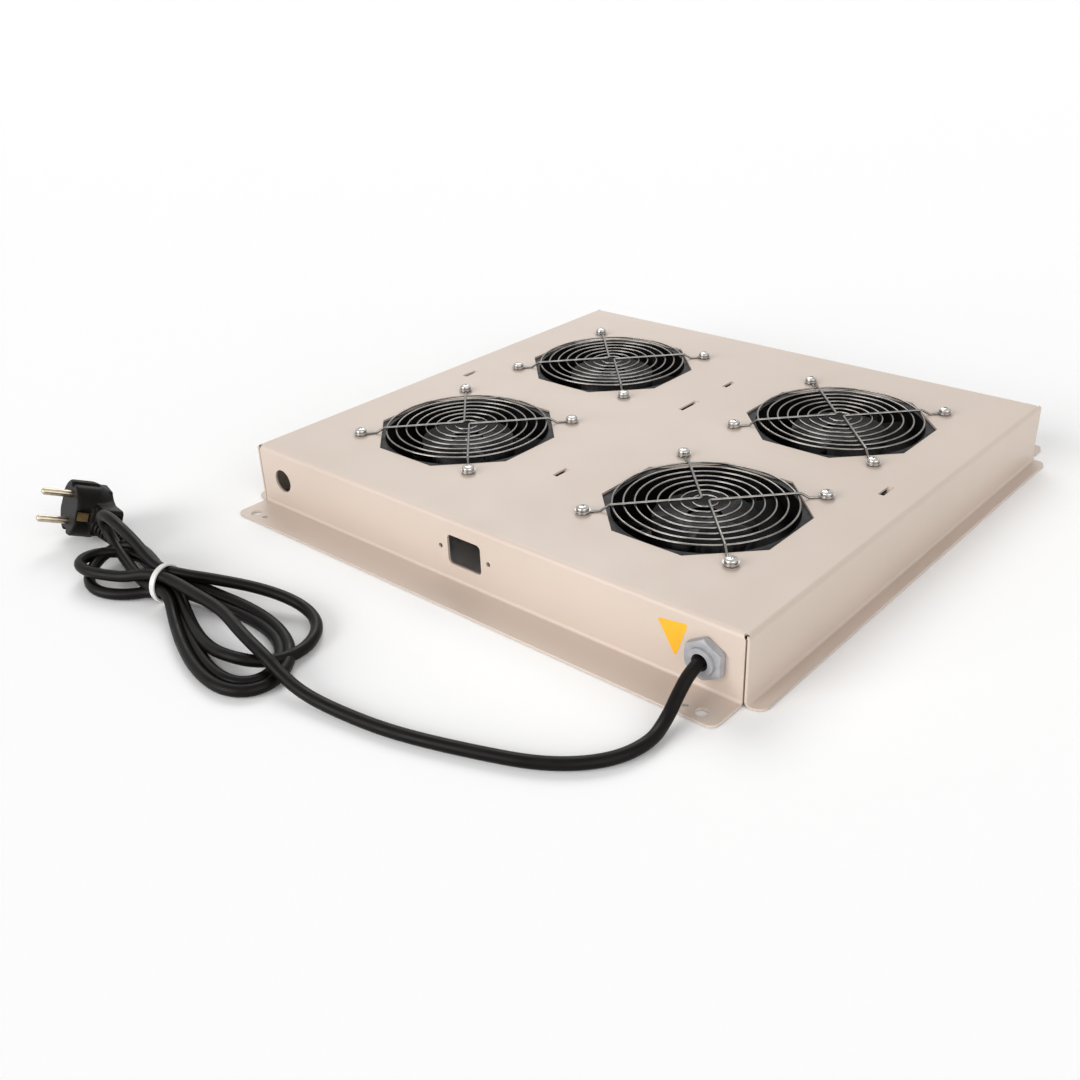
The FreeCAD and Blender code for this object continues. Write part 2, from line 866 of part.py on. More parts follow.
def fan_screws():
    """Pan-head screws with a cross recess; the head is seated on the washer."""
    head, thread = float(screw_head) / 2, float(screw_thread) / 2
    tall, length = float(screw_head_height), float(screw_length)
    crown = Part.Arc(Vector(head, 0, tall * 0.45), Vector(head * 0.72, 0, tall * 0.9),
                     Vector(0, 0, tall)).toShape()
    sides = Part.makePolygon([Vector(0, 0, tall), Vector(0, 0, -length), Vector(thread * 0.8, 0, -length),
                              Vector(thread, 0, 0.6 - length), Vector(thread, 0, 0), Vector(head, 0, 0),
                              Vector(head, 0, tall * 0.45)])
    screw = Part.Face(Part.Wire(sides.Edges + [crown]))
    screw = screw.revolve(Vector(0, 0, 0), Vector(0, 0, 1), 360)
    deep = float(screw_recess)
    for long_way, short_way in ((4.2, 1.0), (1.0, 4.2)):
        slot = Part.makeBox(long_way, short_way, deep + 1,
                            Vector(-long_way / 2, -short_way / 2, tall - deep))
        screw = screw.cut(slot)
    solid_node("fan_screws", at_fan_holes(screw, tray_height + spoke_wire + washer_thickness))


def fan_washers():
    thick = float(washer_thickness)
    washer = Part.makeCylinder(float(washer_radius), thick)
    washer = washer.cut(Part.makeCylinder(float(screw_thread) / 2 + 0.15, thick))
    solid_node("fan_washers", at_fan_holes(washer, tray_height + spoke_wire))


def hexagon_prism(across, tall):
    corners = [Vector(math.cos(math.radians(a)), math.sin(math.radians(a)), 0) * (across / math.sqrt(3))
               for a in range(0, 361, 60)]
    return Part.Face(Part.makePolygon(corners)).extrude(Vector(0, 0, tall))


def fan_nuts():
    """Hexagon nuts under the upper flange of each fan."""
    tall = float(nut_height)
    nut = hexagon_prism(float(nut_across), tall)
    nut = nut.cut(Part.makeCylinder(float(screw_thread) / 2 + 0.05, tall))
    solid_node("fan_nuts", at_fan_holes(nut, plate_under - fan_flange - nut_height))


def fan_bearings():
    """Two sleeve bearings in the tube of each fan."""
    bearing = Part.makeCylinder(float(bearing_radius), float(bearing_height))
    bearing = bearing.cut(Part.makeCylinder(float(shaft_radius + bearing_fit), float(bearing_height)))
    low = fan_floor + motor_base + 1
    high = fan_floor + bearing_tube_height - bearing_height
    copies = []
    for name in FANS:
        x, y = fan_centre(name)
        for level in (low, high):
            copies.append(bearing.translated(Vector(x.value, y.value, level.value)))
    solid_node("fan_bearings", Part.makeCompound(copies))


# ---------------------------------------------------------------- cable gland

def gland_piece(label, sections, bore, start):
    """A gland piece along its axis: sections are (kind, size, length); start is its outer y."""
    body = new_body(label)
    level = as_size(0)
    for kind, width, length in sections:
        sketch = new_sketch(body, "XZ", -level)
        if kind == "hexagon":
            hexagon(sketch, 0, 0, width)
        else:
            circle(sketch, 0, 0, width / 2)
        pad(body, sketch, length, -1)
        level = level + length
    hole = new_sketch(body, "XZ")
    circle(hole, 0, 0, bore / 2)
    pocket(body, hole, level * 2)
    place(body, gland_x, start, gland_z)
    return body


def round_hexagon_ends(body, across, low, high):
    """Turn the corners of a hexagon off at both ends, as on a lathe."""
    corner = across / math.sqrt(3)
    sketch = new_sketch(body, "YZ")
    bevel = (corner - across / 2) * 1.2
    for face, inward in ((low, 1), (high, -1)):
        outline(sketch, [(face, corner - bevel), (face, corner + 2), (face + bevel * 0.6 * inward,
                                                                      corner + 2),
                         (face + bevel * 0.6 * inward, corner)])
    groove = body.newObject("PartDesign::Groove", body.Name + "_bevel")
    groove.Profile = sketch
    groove.ReferenceAxis = (sketch, ["H_Axis"])
    groove.Angle = 360


def gland():
    """Body with its hexagon inside the wall and its thread passing out, held by a locknut."""
    reach = sheet_thickness + locknut_height + thread_stand
    body = gland_piece("gland_body", [("round", gland_thread, reach),
                                      ("hexagon", gland_across, gland_hex_height),
                                      ("round", gland_thread - 2, gland_stem)],
                       gland_bore, thread_end)
    round_hexagon_ends(body, gland_across, reach, reach + gland_hex_height)
    nut = gland_piece("gland_locknut", [("hexagon", gland_across, locknut_height)],
                      gland_thread, front_outside - locknut_height)
    round_hexagon_ends(nut, gland_across, as_size(0), locknut_height)
    seal_start = front_inside + gland_hex_height + gland_stem - seal_length
    gland_piece("gland_seal", [("round", gland_bore, seal_length)], cord, seal_start)

    dome = new_body("gland_dome_nut")
    inner = gland_thread / 2 - 1
    radius = gland_across / 2 - 0.5
    straight = dome_length - 6
    sketch = new_sketch(dome, "YZ")
    stem = gland_stem
    outline(sketch, [(0, inner), (0, radius), (straight, radius), (dome_length, cord / 2 + 2.4),
                     (dome_length, cord / 2 + 0.4), (stem + 0.5, cord / 2 + 0.4), (stem + 0.5, inner)])
    revolved = dome.newObject("PartDesign::Revolution", "gland_dome_nut_turned")
    revolved.Profile = sketch
    revolved.ReferenceAxis = (sketch, ["H_Axis"])
    revolved.Angle = 360
    place(dome, gland_x, front_inside + gland_hex_height, gland_z)


# ---------------------------------------------------------------- terminals and earth

def terminal_block():
    """Three-way block of moulded plastic: a base against the studs' collars, and a ridge under it
    with a way through for each wire and a well for each clamp screw."""
    body = new_body("terminal_block")
    half_long, half_wide = block_length / 2, block_width / 2
    base = new_sketch(body, "XY", block_height - block_base)
    box_outline(base, -half_wide, half_wide, -half_long, half_long, block_corner)
    pad(body, base, block_base)
    ridge = new_sketch(body, "XY")
    ridge_half = half_long - block_step
    box_outline(ridge, -clamp_half, clamp_half, -ridge_half, ridge_half, block_corner)
    pad(body, ridge, block_height - block_base)
    ways = new_sketch(body, "YZ")
    wells = new_sketch(body, "XY")
    for index in (-1, 0, 1):
        circle(ways, terminal_pitch * index, terminal_height, terminal_radius)
        for side in (-1, 1):
            circle(wells, clamp_half / 2 * side, terminal_pitch * index, clamp_screw)
    pocket(body, ways, block_width * 2)
    pocket(body, wells, terminal_height, 1)
    holes = new_sketch(body, "XY")
    for side in (-1, 1):
        circle(holes, 0, (half_long - stud_inset) * side, stud_radius + stud_clearance)
    pocket(body, holes, block_height * 2)
    place(body, block_x, block_y, block_low)


def terminal_metal():
    """Brass clamp tubes in the block's ways, and the screws that close them from below."""
    x, y, low, axis = (float(v) for v in (block_x, block_y, block_low, terminal_level))
    half = float(clamp_half)
    clamps, screws = [], []
    for index in (-1, 0, 1):
        way = y + float(terminal_pitch) * index
        start = Vector(x - half, way, axis)
        tube = Part.makeCylinder(float(terminal_radius), half * 2, start, Vector(1, 0, 0))
        tube = tube.cut(Part.makeCylinder(float(terminal_radius - terminal_wall), half * 2, start,
                                          Vector(1, 0, 0)))
        for side in (-1, 1):
            spot = Vector(x + half / 2 * side, way, low + float(terminal_wall))
            screw = Part.makeCylinder(float(clamp_screw - stud_clearance), axis - spot.z, spot)
            tube = tube.cut(screw)
            screws.append(screw)
        clamps.append(tube)
    solid_node("terminal_clamps", Part.makeCompound(clamps))
    solid_node("terminal_screws", Part.makeCompound(screws))


def terminal_mount():
    """Two threaded studs welded under the plate, each with a collar above the block and a nut."""
    x, top = float(block_x), float(plate_under)
    under_base = float(block_low + block_height - block_base)
    end = under_base - float(stud_nut_height) - 1
    pieces = []
    for side in (-1, 1):
        y = float(block_y + (block_length / 2 - stud_inset) * side)
        stud = Part.makeCylinder(float(stud_radius), top - end, Vector(x, y, end))
        collar = Part.makeCylinder(float(stud_collar), float(block_stand),
                                   Vector(x, y, top - float(block_stand)))
        nut = hexagon_prism(float(stud_nut_across), float(stud_nut_height))
        nut = nut.translated(Vector(x, y, under_base - float(stud_nut_height)))
        pieces.append(stud.fuse([collar, nut]).removeSplitter())
    solid_node("terminal_mount", Part.makeCompound(pieces))


def earth_point():
    """Welded earth stud with the ring of the earth lead held between two nuts."""
    centre = Vector(float(earth_x), float(earth_y), 0)
    radius, tab, wire = float(earth_radius), float(earth_tab), float(earth_wire)
    under, flat = float(plate_under), float(earth_flat)
    nut_tall = radius * 1.6
    stud = Part.makeCylinder(radius, float(earth_stud_length),
                             centre + Vector(0, 0, under - float(earth_stud_length)))
    solid_node("earth_stud", stud)
    eye = Part.makeCylinder(radius * 2, tab, centre + Vector(0, 0, flat))
    neck = float(earth_crimp)
    tongue = Part.makeBox(neck, radius * 1.6, tab, centre + Vector(-neck, radius * -0.8, flat))
    axis = centre + Vector(0, 0, flat + tab / 2)
    barrel = Part.makeCylinder(wire / 2 + 0.6, wire * 2.5, axis - Vector(neck + wire * 2, 0, 0),
                               Vector(1, 0, 0))
    socket = Part.makeCylinder(wire / 2, wire * 2, axis - Vector(neck + wire * 2, 0, 0),
                               Vector(1, 0, 0))
    hole = Part.makeCylinder(radius + float(stud_clearance), tab * 4, centre + Vector(0, 0, flat - tab))
    solid_node("earth_ring", eye.fuse([tongue, barrel]).cut(hole).cut(socket))
    nut = hexagon_prism(radius * 3.2, nut_tall)
    nut = nut.cut(Part.makeCylinder(radius + float(bearing_fit), nut_tall))
    low = nut.translated(centre + Vector(0, 0, flat - nut_tall))
    high = nut.translated(centre + Vector(0, 0, flat + tab))
    solid_node("earth_nuts", Part.makeCompound([low, high]))


# ---------------------------------------------------------------- cords and leads

def round_tube(path, diameter):
    """A round tube along a path of runs and arcs."""
    start = path.Edges[0]
    along = start.tangentAt(start.FirstParameter)
    section = Part.Wire(Part.Circle(start.valueAt(start.FirstParameter), along,
                                    float(diameter) / 2).toShape())
    tube = path.makePipeShell([section], True, False)
    wanted = math.pi * float(diameter) ** 2 / 4 * path.Length
    if abs(tube.Volume - wanted) > wanted * 0.02:
        raise ValueError("the tube folds on itself: %.0f for %.0f" % (tube.Volume, wanted))
    return tube


def cord_shape(label, route, diameter, share=0.45):
    """A cord whose arcs are as large as the runs beside them allow."""
    points = [Vector(*(float(c) for c in point)) for point in route]
    radii = []
    for index in range(1, len(points) - 1):
        before, after = points[index] - points[index - 1], points[index + 1] - points[index]
        half_turn = before.getAngle(after) / 2
        radii.append(share * min(before.Length, after.Length) / math.tan(half_turn))
    print(label, "radii", [round(radius, 1) for radius in radii])
    path = rounded_path(points, radii)
    print(label, "length", round(path.Length, 1))
    return round_tube(path, diameter)


def supply_tail():
    """The end of the supply cord inside the tray, from the gland to the middle terminal."""
    end_x = block_x + clamp_half
    level = terminal_level
    route = [(gland_x, thread_end, gland_z), (gland_x, front_inside + 32, gland_z),
             (gland_x - 5, front_inside + 41, gland_z + 2),
             (gland_x - 16, front_inside + 43, level - 2), (gland_x - 31, front_inside + 34, level),
             (end_x, block_y - 0.4, level)]
    solid_node("supply_tail", cord_shape("supply_tail", route, cord))


def earth_lead():
    flat = earth_flat + earth_tab / 2
    end_x = block_x + clamp_half - 3
    way_y = block_y - terminal_pitch
    crimp_x = earth_x - earth_crimp - earth_wire * 2
    route = [(end_x, way_y, terminal_level), (end_x + 9, way_y - 0.3, terminal_level + 0.5),
             (crimp_x - 7, earth_y + 0.5, flat - 1), (crimp_x + earth_wire * 2, earth_y, flat)]
    solid_node("earth_lead", cord_shape("earth_lead", route, earth_wire))


def fan_leads():
    """A two-core lead from each fan to the terminals, held up by ties through the lances."""
    near_x, far_x = block_x - clamp_half, block_x + clamp_half
    run = lead_level
    left, right = fan_pitch_x / -2, fan_pitch_x / 2
    front, rear = fan_pitch_y / -2, fan_pitch_y / 2
    side = fan_lead / 2 + 0.1
    level = terminal_level
    routes = {
        "rear_left": [(left + duct_outer - 18.5, rear + 42.5, 27),
                      (left + duct_outer - 1.5, rear + 42.5, 27),
                      (-22, rear + 41, 31), (-4, rear + 33, 35), (0, end_lance_y + 5, run),
                      (0.4, end_lance_y - 6, run), (0, long_lance_y + 8, run),
                      (0.3, long_lance_y - 9, run), (side, 10, run - 0.4), (side - 0.3, -40, run - 0.2),
                      (side, 8 - end_lance_y, run), (side + 0.2, -end_lance_y - 8, run),
                      (side + 3, block_y + 37, run - 0.5), (14, block_y + 15, 34),
                      (38, block_y + 5, level + 2),
                      (70, block_y + 1, level), (near_x - 6, block_y, level),
                      (near_x, block_y - 0.1, level)],
        "front_left": [(left + duct_outer - 10.5, front + 32.5, 27),
                       (left + duct_outer + 2.5, front + 32.5, 27),
                       (-24, front + 29, 31), (-8, front + 16, 35), (-side, 10 - end_lance_y, run),
                       (-side - 0.2, -end_lance_y - 8, run), (-side + 1, block_y + 35, run - 0.5),
                       (6, block_y + 7, 34), (30, block_y - 7, level + 2), (64, block_y - 9, level),
                       (near_x, block_y - terminal_pitch, level)],
        "front_right": [(right - 34, front - duct_outer + 10.7, 20),
                        (right - 34.3, front - duct_outer - 0.5, 20),
                        (right - 32, front - duct_outer - 8.5, 23), (right - 22, block_y + 11, level - 2),
                        (near_x, block_y + terminal_pitch, level)],
        "rear_right": [(right + duct_outer - 10.5, rear - 32.5, 25),
                       (right + duct_outer + 0.5, rear - 32.5, 25),
                       (right + duct_outer + 10.5, rear - 36, 28), (side_lance_x, rear - 52, 33),
                       (side_lance_x, 12, run), (side_lance_x + 0.3, -10, run),
                       (side_lance_x + 0.8, -50, run - 0.4), (side_lance_x - 1, block_y + 67, run),
                       (side_lance_x - 5, block_y + 34, run + 0.5),
                       (side_lance_x - 23, block_y + 15.5, run + 0.7),
                       (far_x + 13, block_y + terminal_pitch + 1.5, level + 1.5),
                       (far_x, block_y + terminal_pitch, level)],
    }
    for name, route in routes.items():
        solid_node("fan_lead_" + name, cord_shape("fan_lead_" + name, route, fan_lead))


def cable_ties():
    """Flat plastic ties, each looped over a lance and round the leads below it."""
    top = tray_height - lance_depth
    low = lead_level - fan_lead / 2
    shapes = []
    for x, y, leads in ((0, end_lance_y, 1), (0, long_lance_y, 1), (0, -end_lance_y, 2),
                        (side_lance_x, 0, 1)):
        half = float(max(float(lance_width / 2), float(fan_lead / 2) * leads + 0.2) + tie_play)
        thick, wide = float(tie_thickness), float(tie_width)
        x, y = float(x), float(y)
        height = float(top) - float(low)
        outer = Part.makeBox((half + thick) * 2, wide, height + thick * 2,
                             Vector(x - half - thick, y - wide / 2, float(low) - thick))
        inner = Part.makeBox(half * 2, wide, height, Vector(x - half, y - wide / 2, float(low)))
        long, side, deep = float(tie_lock_length), float(tie_lock_side), float(tie_lock)
        lock = Part.makeBox(long, wide + side * 2, deep,
                            Vector(x - long / 2, y - wide / 2 - side, float(low) - thick - deep))
        rounded = outer.makeFillet(thick, [e for e in outer.Edges if e.tangentAt(0).y ** 2 > 0.9])
        shapes.append(rounded.cut(inner).fuse(lock))
    solid_node("cable_ties", Part.makeCompound(shapes))


def cord_tube():
    """The loose stretch of the cord, from the gland down to the surface and along to the hank."""
    low = cord / 2
    route = [(gland_x, thread_end, gland_z), (gland_x, thread_end - 8, gland_z - 1.5),
             (gland_x + 0.5, thread_end - 18, gland_z - 8), (gland_x + 3, -230, 5.5),
             (gland_x + 6, -248, low), (gland_x - 1, -271, low), (gland_x - 23, -292, low),
             (118, -306.5, low), (77, -320.5, low), (41, -326.5, low + 0.4), (15, -329, low + 2),
             (-5, -328, low + 5)]
    solid_node("cord_tube", cord_shape("cord_tube", route, cord))


def cord_hank():
    """Outer shape of the tied hank: a wide lobe on each side of the waist under the tie."""
    body = new_body("cord_hank")
    waist = cord * 1.5 - 1.3
    low = hank_tie_thickness + 1.4
    high = low + waist * 2
    # Stations along the hank: distance from the tie, and the right, left, low and high edges.
    stations = [(-82, 0, 22, 10, 30), (-72, -8, 30, 1, 32), (-58, -14, 36, 0, 32),
                (-38, -18, 29, 0, 31), (-14, -11.5, 15, 1, 26), (-3, -waist, waist, low, high),
                (3, -waist, waist, low, high), (22, -26, 12.5, 1, 23), (50, -46.5, 20.5, 0, 22.5),
                (76, -62.5, 23.5, 0, 21), (100, -67, 19, 0, 19.5), (112, -65, 9, 0, 18),
                (121, -54, -14, 0, 15)]
    sections = []
    for along, right, left, bottom, top in stations:
        sketch = new_sketch(body, "YZ", as_size(along))
        box_outline(sketch, as_size(right), as_size(left), as_size(bottom), as_size(top),
                    hank_rounding)
        sections.append(sketch)
    loft = body.newObject("PartDesign::AdditiveLoft", "cord_hank_loft")
    loft.Profile = sections[0]
    loft.Sections = sections[1:]
    loft.Ruled = True
    place(body, hank_x, hank_y, 0, Rotation(Vector(0, 0, 1), float(hank_heading)))


def hank_tie():
    """Round plastic tie that holds the hank together, with the small head of its lock."""
    body = new_body("hank_tie")
    inner = cord * 1.5 + 0.1
    outer = inner + hank_tie_thickness
    sketch = new_sketch(body, "YZ")
    circle(sketch, 0, outer, outer)
    circle(sketch, 0, outer, inner)
    pad(body, sketch, hank_tie_width, 0)
    place(body, hank_x, hank_y, 0, Rotation(Vector(0, 0, 1), float(hank_heading)))


# ---------------------------------------------------------------- plug

def place_on_plug(body):
    """Every plug piece is drawn with its face on XY, its pins along +Z and its cord along +X."""
    place(body, plug_x, plug_y, plug_z, plug_turn)


def plug_cutter(body, plane, corners, length, side, lift=None):
    sketch = new_sketch(body, plane, lift)
    outline(sketch, corners)
    return pocket(body, sketch, length, side)


def plug_body():
    """Moulded body of a side-entry plug: a round body that tapers to the back, with flats and
    guide grooves in line with the pins, a neck for the cord and a finger grip behind it."""
    body = new_body("plug_body")
    shell = new_sketch(body, "XZ")
    outline(shell, [(0, 0), (plug_radius - plug_edge, 0), (plug_radius, -plug_edge),
                    (plug_radius, -plug_straight), (plug_rear_radius, -plug_depth),
                    (0, -plug_depth)])
    turn(body, shell)
    for side in (-1, 1):
        wide, deep = guide_width / 2, guide_depth
        plug_cutter(body, "XY", [(-plug_radius, plug_flat * side), (plug_radius, plug_flat * side),
                                 (plug_radius, (plug_radius + 1) * side),
                                 (-plug_radius, (plug_radius + 1) * side)], plug_depth * 2, 0)
        plug_cutter(body, "XY", [(-wide, (plug_flat - deep) * side), (wide, (plug_flat - deep) * side),
                                 (wide, (plug_flat + 1) * side), (-wide, (plug_flat + 1) * side)],
                    guide_length, -1)
    neck = new_sketch(body, "YZ")
    box_outline(neck, neck_low, neck_high, -plug_depth, neck_width - plug_depth, plug_edge * 3)
    pad(body, neck, neck_end)
    grip = new_sketch(body, "XY", -plug_depth)
    tip = plug_edge * 3
    outline(grip, [(-plug_radius / 2, plug_flat - 2), (plug_radius / 4, plug_flat - 2, plug_radius),
                   (grip_reach - 12, grip_top - 1), (grip_reach - tip, grip_top, -tip),
                   (grip_reach, grip_top - tip), (grip_reach, grip_top - grip_width + tip, -tip),
                   (grip_reach - tip, grip_top - grip_width), (neck_end - 2, neck_low / 3),
                   (-plug_radius / 2, neck_low / 3)])
    pad(body, grip, neck_width - 2)
    for side, length in ((-1, plug_straight + 3), (1, plug_depth - neck_width - 1)):
        near, far, wide = plug_radius - earth_recess_depth, plug_radius + 1, earth_recess_width / 2
        plug_cutter(body, "XY", [(near * side, -wide), (far * side, -wide), (far * side, wide),
                                 (near * side, wide)], length, -1)
    holes = new_sketch(body, "XY")
    for side in (-1, 1):
        circle(holes, 0, pin_pitch / 2 * side, pin_radius)
    pocket(body, holes, pin_root, -1)
    place_on_plug(body)


def plug_pins():
    """Two round pins with rounded tips, moulded into the face."""
    body = new_body("plug_pins")
    for side in (-1, 1):
        pin = new_sketch(body, "XY", -pin_root)
        circle(pin, 0, pin_pitch / 2 * side, pin_radius)
        pad(body, pin, pin_root + pin_length - pin_tip)
        end = new_sketch(body, "XY", pin_length - pin_tip)
        circle(end, 0, pin_pitch / 2 * side, pin_radius)
        cap = pad(body, end, pin_tip)
        cap.TaperAngle = -40
    place_on_plug(body)


def plug_earth_contacts():
    """Two sprung strips in the recesses of the plug's sides: the one above the neck is shorter."""
    body = new_body("plug_earth_contacts")
    seat, half = plug_radius - earth_recess_depth, earth_strip_width / 2
    for side, length in ((-1, plug_straight + 1), (1, plug_depth - neck_width - 3)):
        sketch = new_sketch(body, "XY", -plug_edge)
        near, far = seat * side, (seat + earth_strip) * side
        outline(sketch, [(near, -half), (far, -half), (far, half), (near, half)])
        pad(body, sketch, length, -1)
    place_on_plug(body)


def plug_sleeve():
    """Tapered strain relief, grooved across so that it bends with the cord."""
    body = new_body("plug_sleeve")
    sketch = new_sketch(body, "XZ")
    pitch = sleeve_length / (sleeve_ribs + 1)
    corners = [(0, 0), (sleeve_root, 0)]
    for index in range(1, int(float(sleeve_ribs)) + 1):
        radius = sleeve_root + (sleeve_tip - sleeve_root) * index / sleeve_ribs
        level = pitch * index
        corners += [(radius, level - pitch * 0.4), (radius - sleeve_groove, level - pitch * 0.3),
                    (radius - sleeve_groove, level), (radius, level + pitch * 0.1)]
    corners += [(sleeve_tip, sleeve_length), (0, sleeve_length)]
    outline(sketch, corners)
    turn(body, sketch)
    root_spot = plug_turn.multVec(Vector(float(sleeve_start), float(sleeve_drop), float(sleeve_level)))
    tip_way = Vector(28, 1.3, -7.3)
    place(body, plug_x + root_spot.x, plug_y + root_spot.y, plug_z + root_spot.z,
          Rotation(Vector(0, 0, 1), tip_way))


tray_housing()
for spin, name in enumerate(FANS):
    fan_frame(name)
    impeller(name, float(rest_angle + rest_step * spin))
    rotor_cup(name)
    shaft(name)
    stator(name)
finger_guards()
fan_screws()
fan_washers()
fan_nuts()
fan_bearings()
gland()
terminal_block()
terminal_metal()
terminal_mount()
earth_point()
supply_tail()
earth_lead()
fan_leads()
cable_ties()
cord_tube()
cord_hank()
hank_tie()
plug_body()
plug_pins()
plug_earth_contacts()
plug_sleeve()
doc.recompute()

faults = []
for thing in doc.Objects:
    if "Invalid" in thing.State or "Error" in thing.State:
        faults.append("%s is %s" % (thing.Name, thing.State))
    if thing.TypeId in ("PartDesign::Pocket", "PartDesign::Groove"):
        if thing.Shape.Volume > thing.BaseFeature.Shape.Volume - 1e-3:
            faults.append("%s cuts nothing" % thing.Name)
for thing in nodes:
    if thing.Shape.isNull() or not thing.Shape.isValid() or not thing.Shape.Solids:
        faults.append("%s has no valid solid" % thing.Label)
if faults:
    raise ValueError("; ".join(faults))
for thing in nodes:
    thing.Shape.exportStep("parts/%s.step" % thing.Label)
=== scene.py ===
import json
import math

import bmesh
import bpy
from mathutils import Matrix, Vector


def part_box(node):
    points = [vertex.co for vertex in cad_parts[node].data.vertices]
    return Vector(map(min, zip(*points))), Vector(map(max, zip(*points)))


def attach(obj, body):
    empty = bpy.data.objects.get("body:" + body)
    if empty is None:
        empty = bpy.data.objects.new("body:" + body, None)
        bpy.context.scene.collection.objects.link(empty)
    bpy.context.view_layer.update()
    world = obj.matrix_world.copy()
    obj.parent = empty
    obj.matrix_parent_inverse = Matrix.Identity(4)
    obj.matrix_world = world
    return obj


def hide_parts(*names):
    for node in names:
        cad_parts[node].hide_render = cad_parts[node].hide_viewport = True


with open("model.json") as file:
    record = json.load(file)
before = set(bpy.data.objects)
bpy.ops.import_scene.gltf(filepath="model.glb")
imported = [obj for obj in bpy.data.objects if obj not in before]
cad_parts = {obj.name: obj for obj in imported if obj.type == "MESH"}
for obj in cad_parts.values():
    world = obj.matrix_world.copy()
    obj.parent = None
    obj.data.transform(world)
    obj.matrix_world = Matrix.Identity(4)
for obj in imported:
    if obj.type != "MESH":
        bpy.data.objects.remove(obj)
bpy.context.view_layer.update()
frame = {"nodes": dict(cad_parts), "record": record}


# ================================================================ camera
# A product-picture view from the front right and above, turned a little about its own axis.
camera_turn, camera_rise, camera_roll = (math.radians(d) for d in (42.27, 28.13, -2.34))
camera_place = Vector((0.4535, -0.6203, 0.3636))
camera_data = bpy.data.cameras.new("camera")
camera_data.lens = 39.27
camera_data.sensor_width = 36.0
camera_data.clip_start = 0.01
camera = bpy.data.objects.new("camera", camera_data)
camera.matrix_world = (Matrix.Translation(camera_place) @ Matrix.Rotation(camera_turn, 4, "Z")
                       @ Matrix.Rotation(math.pi / 2 - camera_rise, 4, "X")
                       @ Matrix.Rotation(camera_roll, 4, "Z"))
bpy.context.scene.collection.objects.link(camera)
bpy.context.scene.camera = camera


# ================================================================ supply cord
# A 3-core PVC mains cord of 7.2 mm.  It leaves the gland, drops to the surface, runs round to
# the left and is folded into a loose hank: three loops on each side of a white tie, seven
# strands deep, as it comes off the packing bench.

def linear(hex_colour):
    """An sRGB hex colour as linear RGBA."""
    channels = [int(hex_colour[i:i + 2], 16) / 255 for i in (1, 3, 5)]
    return [c / 12.92 if c <= 0.04045 else ((c + 0.055) / 1.055) ** 2.4 for c in channels] + [1]


def add_node(tree, kind, links=None, **settings):
    """Add a node with its settings, its inputs set to values or linked from sockets."""
    made = tree.nodes.new(kind)
    for name, value in settings.items():
        setattr(made, name, value)
    for socket, value in (links or {}).items():
        if isinstance(value, bpy.types.NodeSocket):
            tree.links.new(value, made.inputs[socket])
        else:
            made.inputs[socket].default_value = value
    return made


def start_material(name, roughness, metallic=0.0, ior=None, specular=None):
    """A new material: returns it, its tree and its shader, with the constants on the shader."""
    material = bpy.data.materials.new(name)
    material.use_nodes = True
    tree = material.node_tree
    shader = tree.nodes["Principled BSDF"]
    shader.inputs["Roughness"].default_value = roughness
    shader.inputs["Metallic"].default_value = metallic
    if ior is not None:
        shader.inputs["IOR"].default_value = ior
    if specular is not None:
        shader.inputs["Specular IOR Level"].default_value = specular
    return material, tree, shader


def mottle(tree, size_mm, detail=3.0):
    """Noise whose features are about size_mm across."""
    where = add_node(tree, "ShaderNodeTexCoord").outputs["Object"]
    return add_node(tree, "ShaderNodeTexNoise",
                    {"Vector": where, "Scale": 1000 / size_mm, "Detail": detail}).outputs["Fac"]


noise_low, noise_high = 0.35, 0.65


def vary(tree, factor, low, high):
    """Spread a noise value, which mostly lies between noise_low and noise_high, over a range."""
    return add_node(tree, "ShaderNodeMapRange",
                    {"Value": factor, "From Min": noise_low, "From Max": noise_high,
                     "To Min": low, "To Max": high}).outputs["Result"]


def two_tone(tree, factor, first, second):
    """A colour between two sRGB colours."""
    mix = add_node(tree, "ShaderNodeMix", data_type="RGBA")
    tree.links.new(factor, mix.inputs[0])
    mix.inputs[6].default_value = linear(first)
    mix.inputs[7].default_value = linear(second)
    return mix.outputs[2]


def bump(tree, shader, height, depth_mm, strength=1.0):
    """Relief of a depth in millimetres on a shader."""
    made = add_node(tree, "ShaderNodeBump",
                    {"Height": height, "Distance": depth_mm / 1000, "Strength": strength})
    tree.links.new(made.outputs["Normal"], shader.inputs["Normal"])


def cord_sheath():
    """Extruded black PVC: satin, with faint drawing lines and handling marks."""
    material, tree, shader = start_material("black_pvc_sheath", 0.34, ior=1.53, specular=0.1)
    grain = mottle(tree, 9)
    tree.links.new(two_tone(tree, vary(tree, grain, 0, 1), "#080605", "#0f0b0a"),
                   shader.inputs["Base Color"])
    tree.links.new(vary(tree, grain, 0.32, 0.46), shader.inputs["Roughness"])
    bump(tree, shader, mottle(tree, 0.7), 0.05, 0.5)
    return material


def add_piece(name, mesh, body="tray", stands_for=()):
    """Link a finished mesh or curve as a piece that rides on a body."""
    piece = bpy.data.objects.new(name, mesh)
    bpy.context.scene.collection.objects.link(piece)
    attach(piece, body)
    if stands_for:
        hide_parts(*stands_for)
    return piece


millimetre = 0.001
cord_across = 7.2
gland_exit = (175.5, -197.5, 21.5)
loose_route = [gland_exit, (175.5, -205.5, 20), (176, -215.5, 13.5), (178.5, -230, 5.5),
               (181.5, -248, 3.6), (174.5, -271, 3.6), (152.5, -292, 3.6), (118, -306.5, 3.6),
               (77, -320.5, 3.6), (41, -326.5, 4), (15, -329, 5.6), (-5, -328, 10),
               (-18, -327, 15), (-42, -323, 16.5), (-70, -316, 18), (-95, -316, 19)]
tail_route = [(-160, -304, 6), (-184, -298, 4.5), (-200, -297, 5), (-207, -297, 6)]

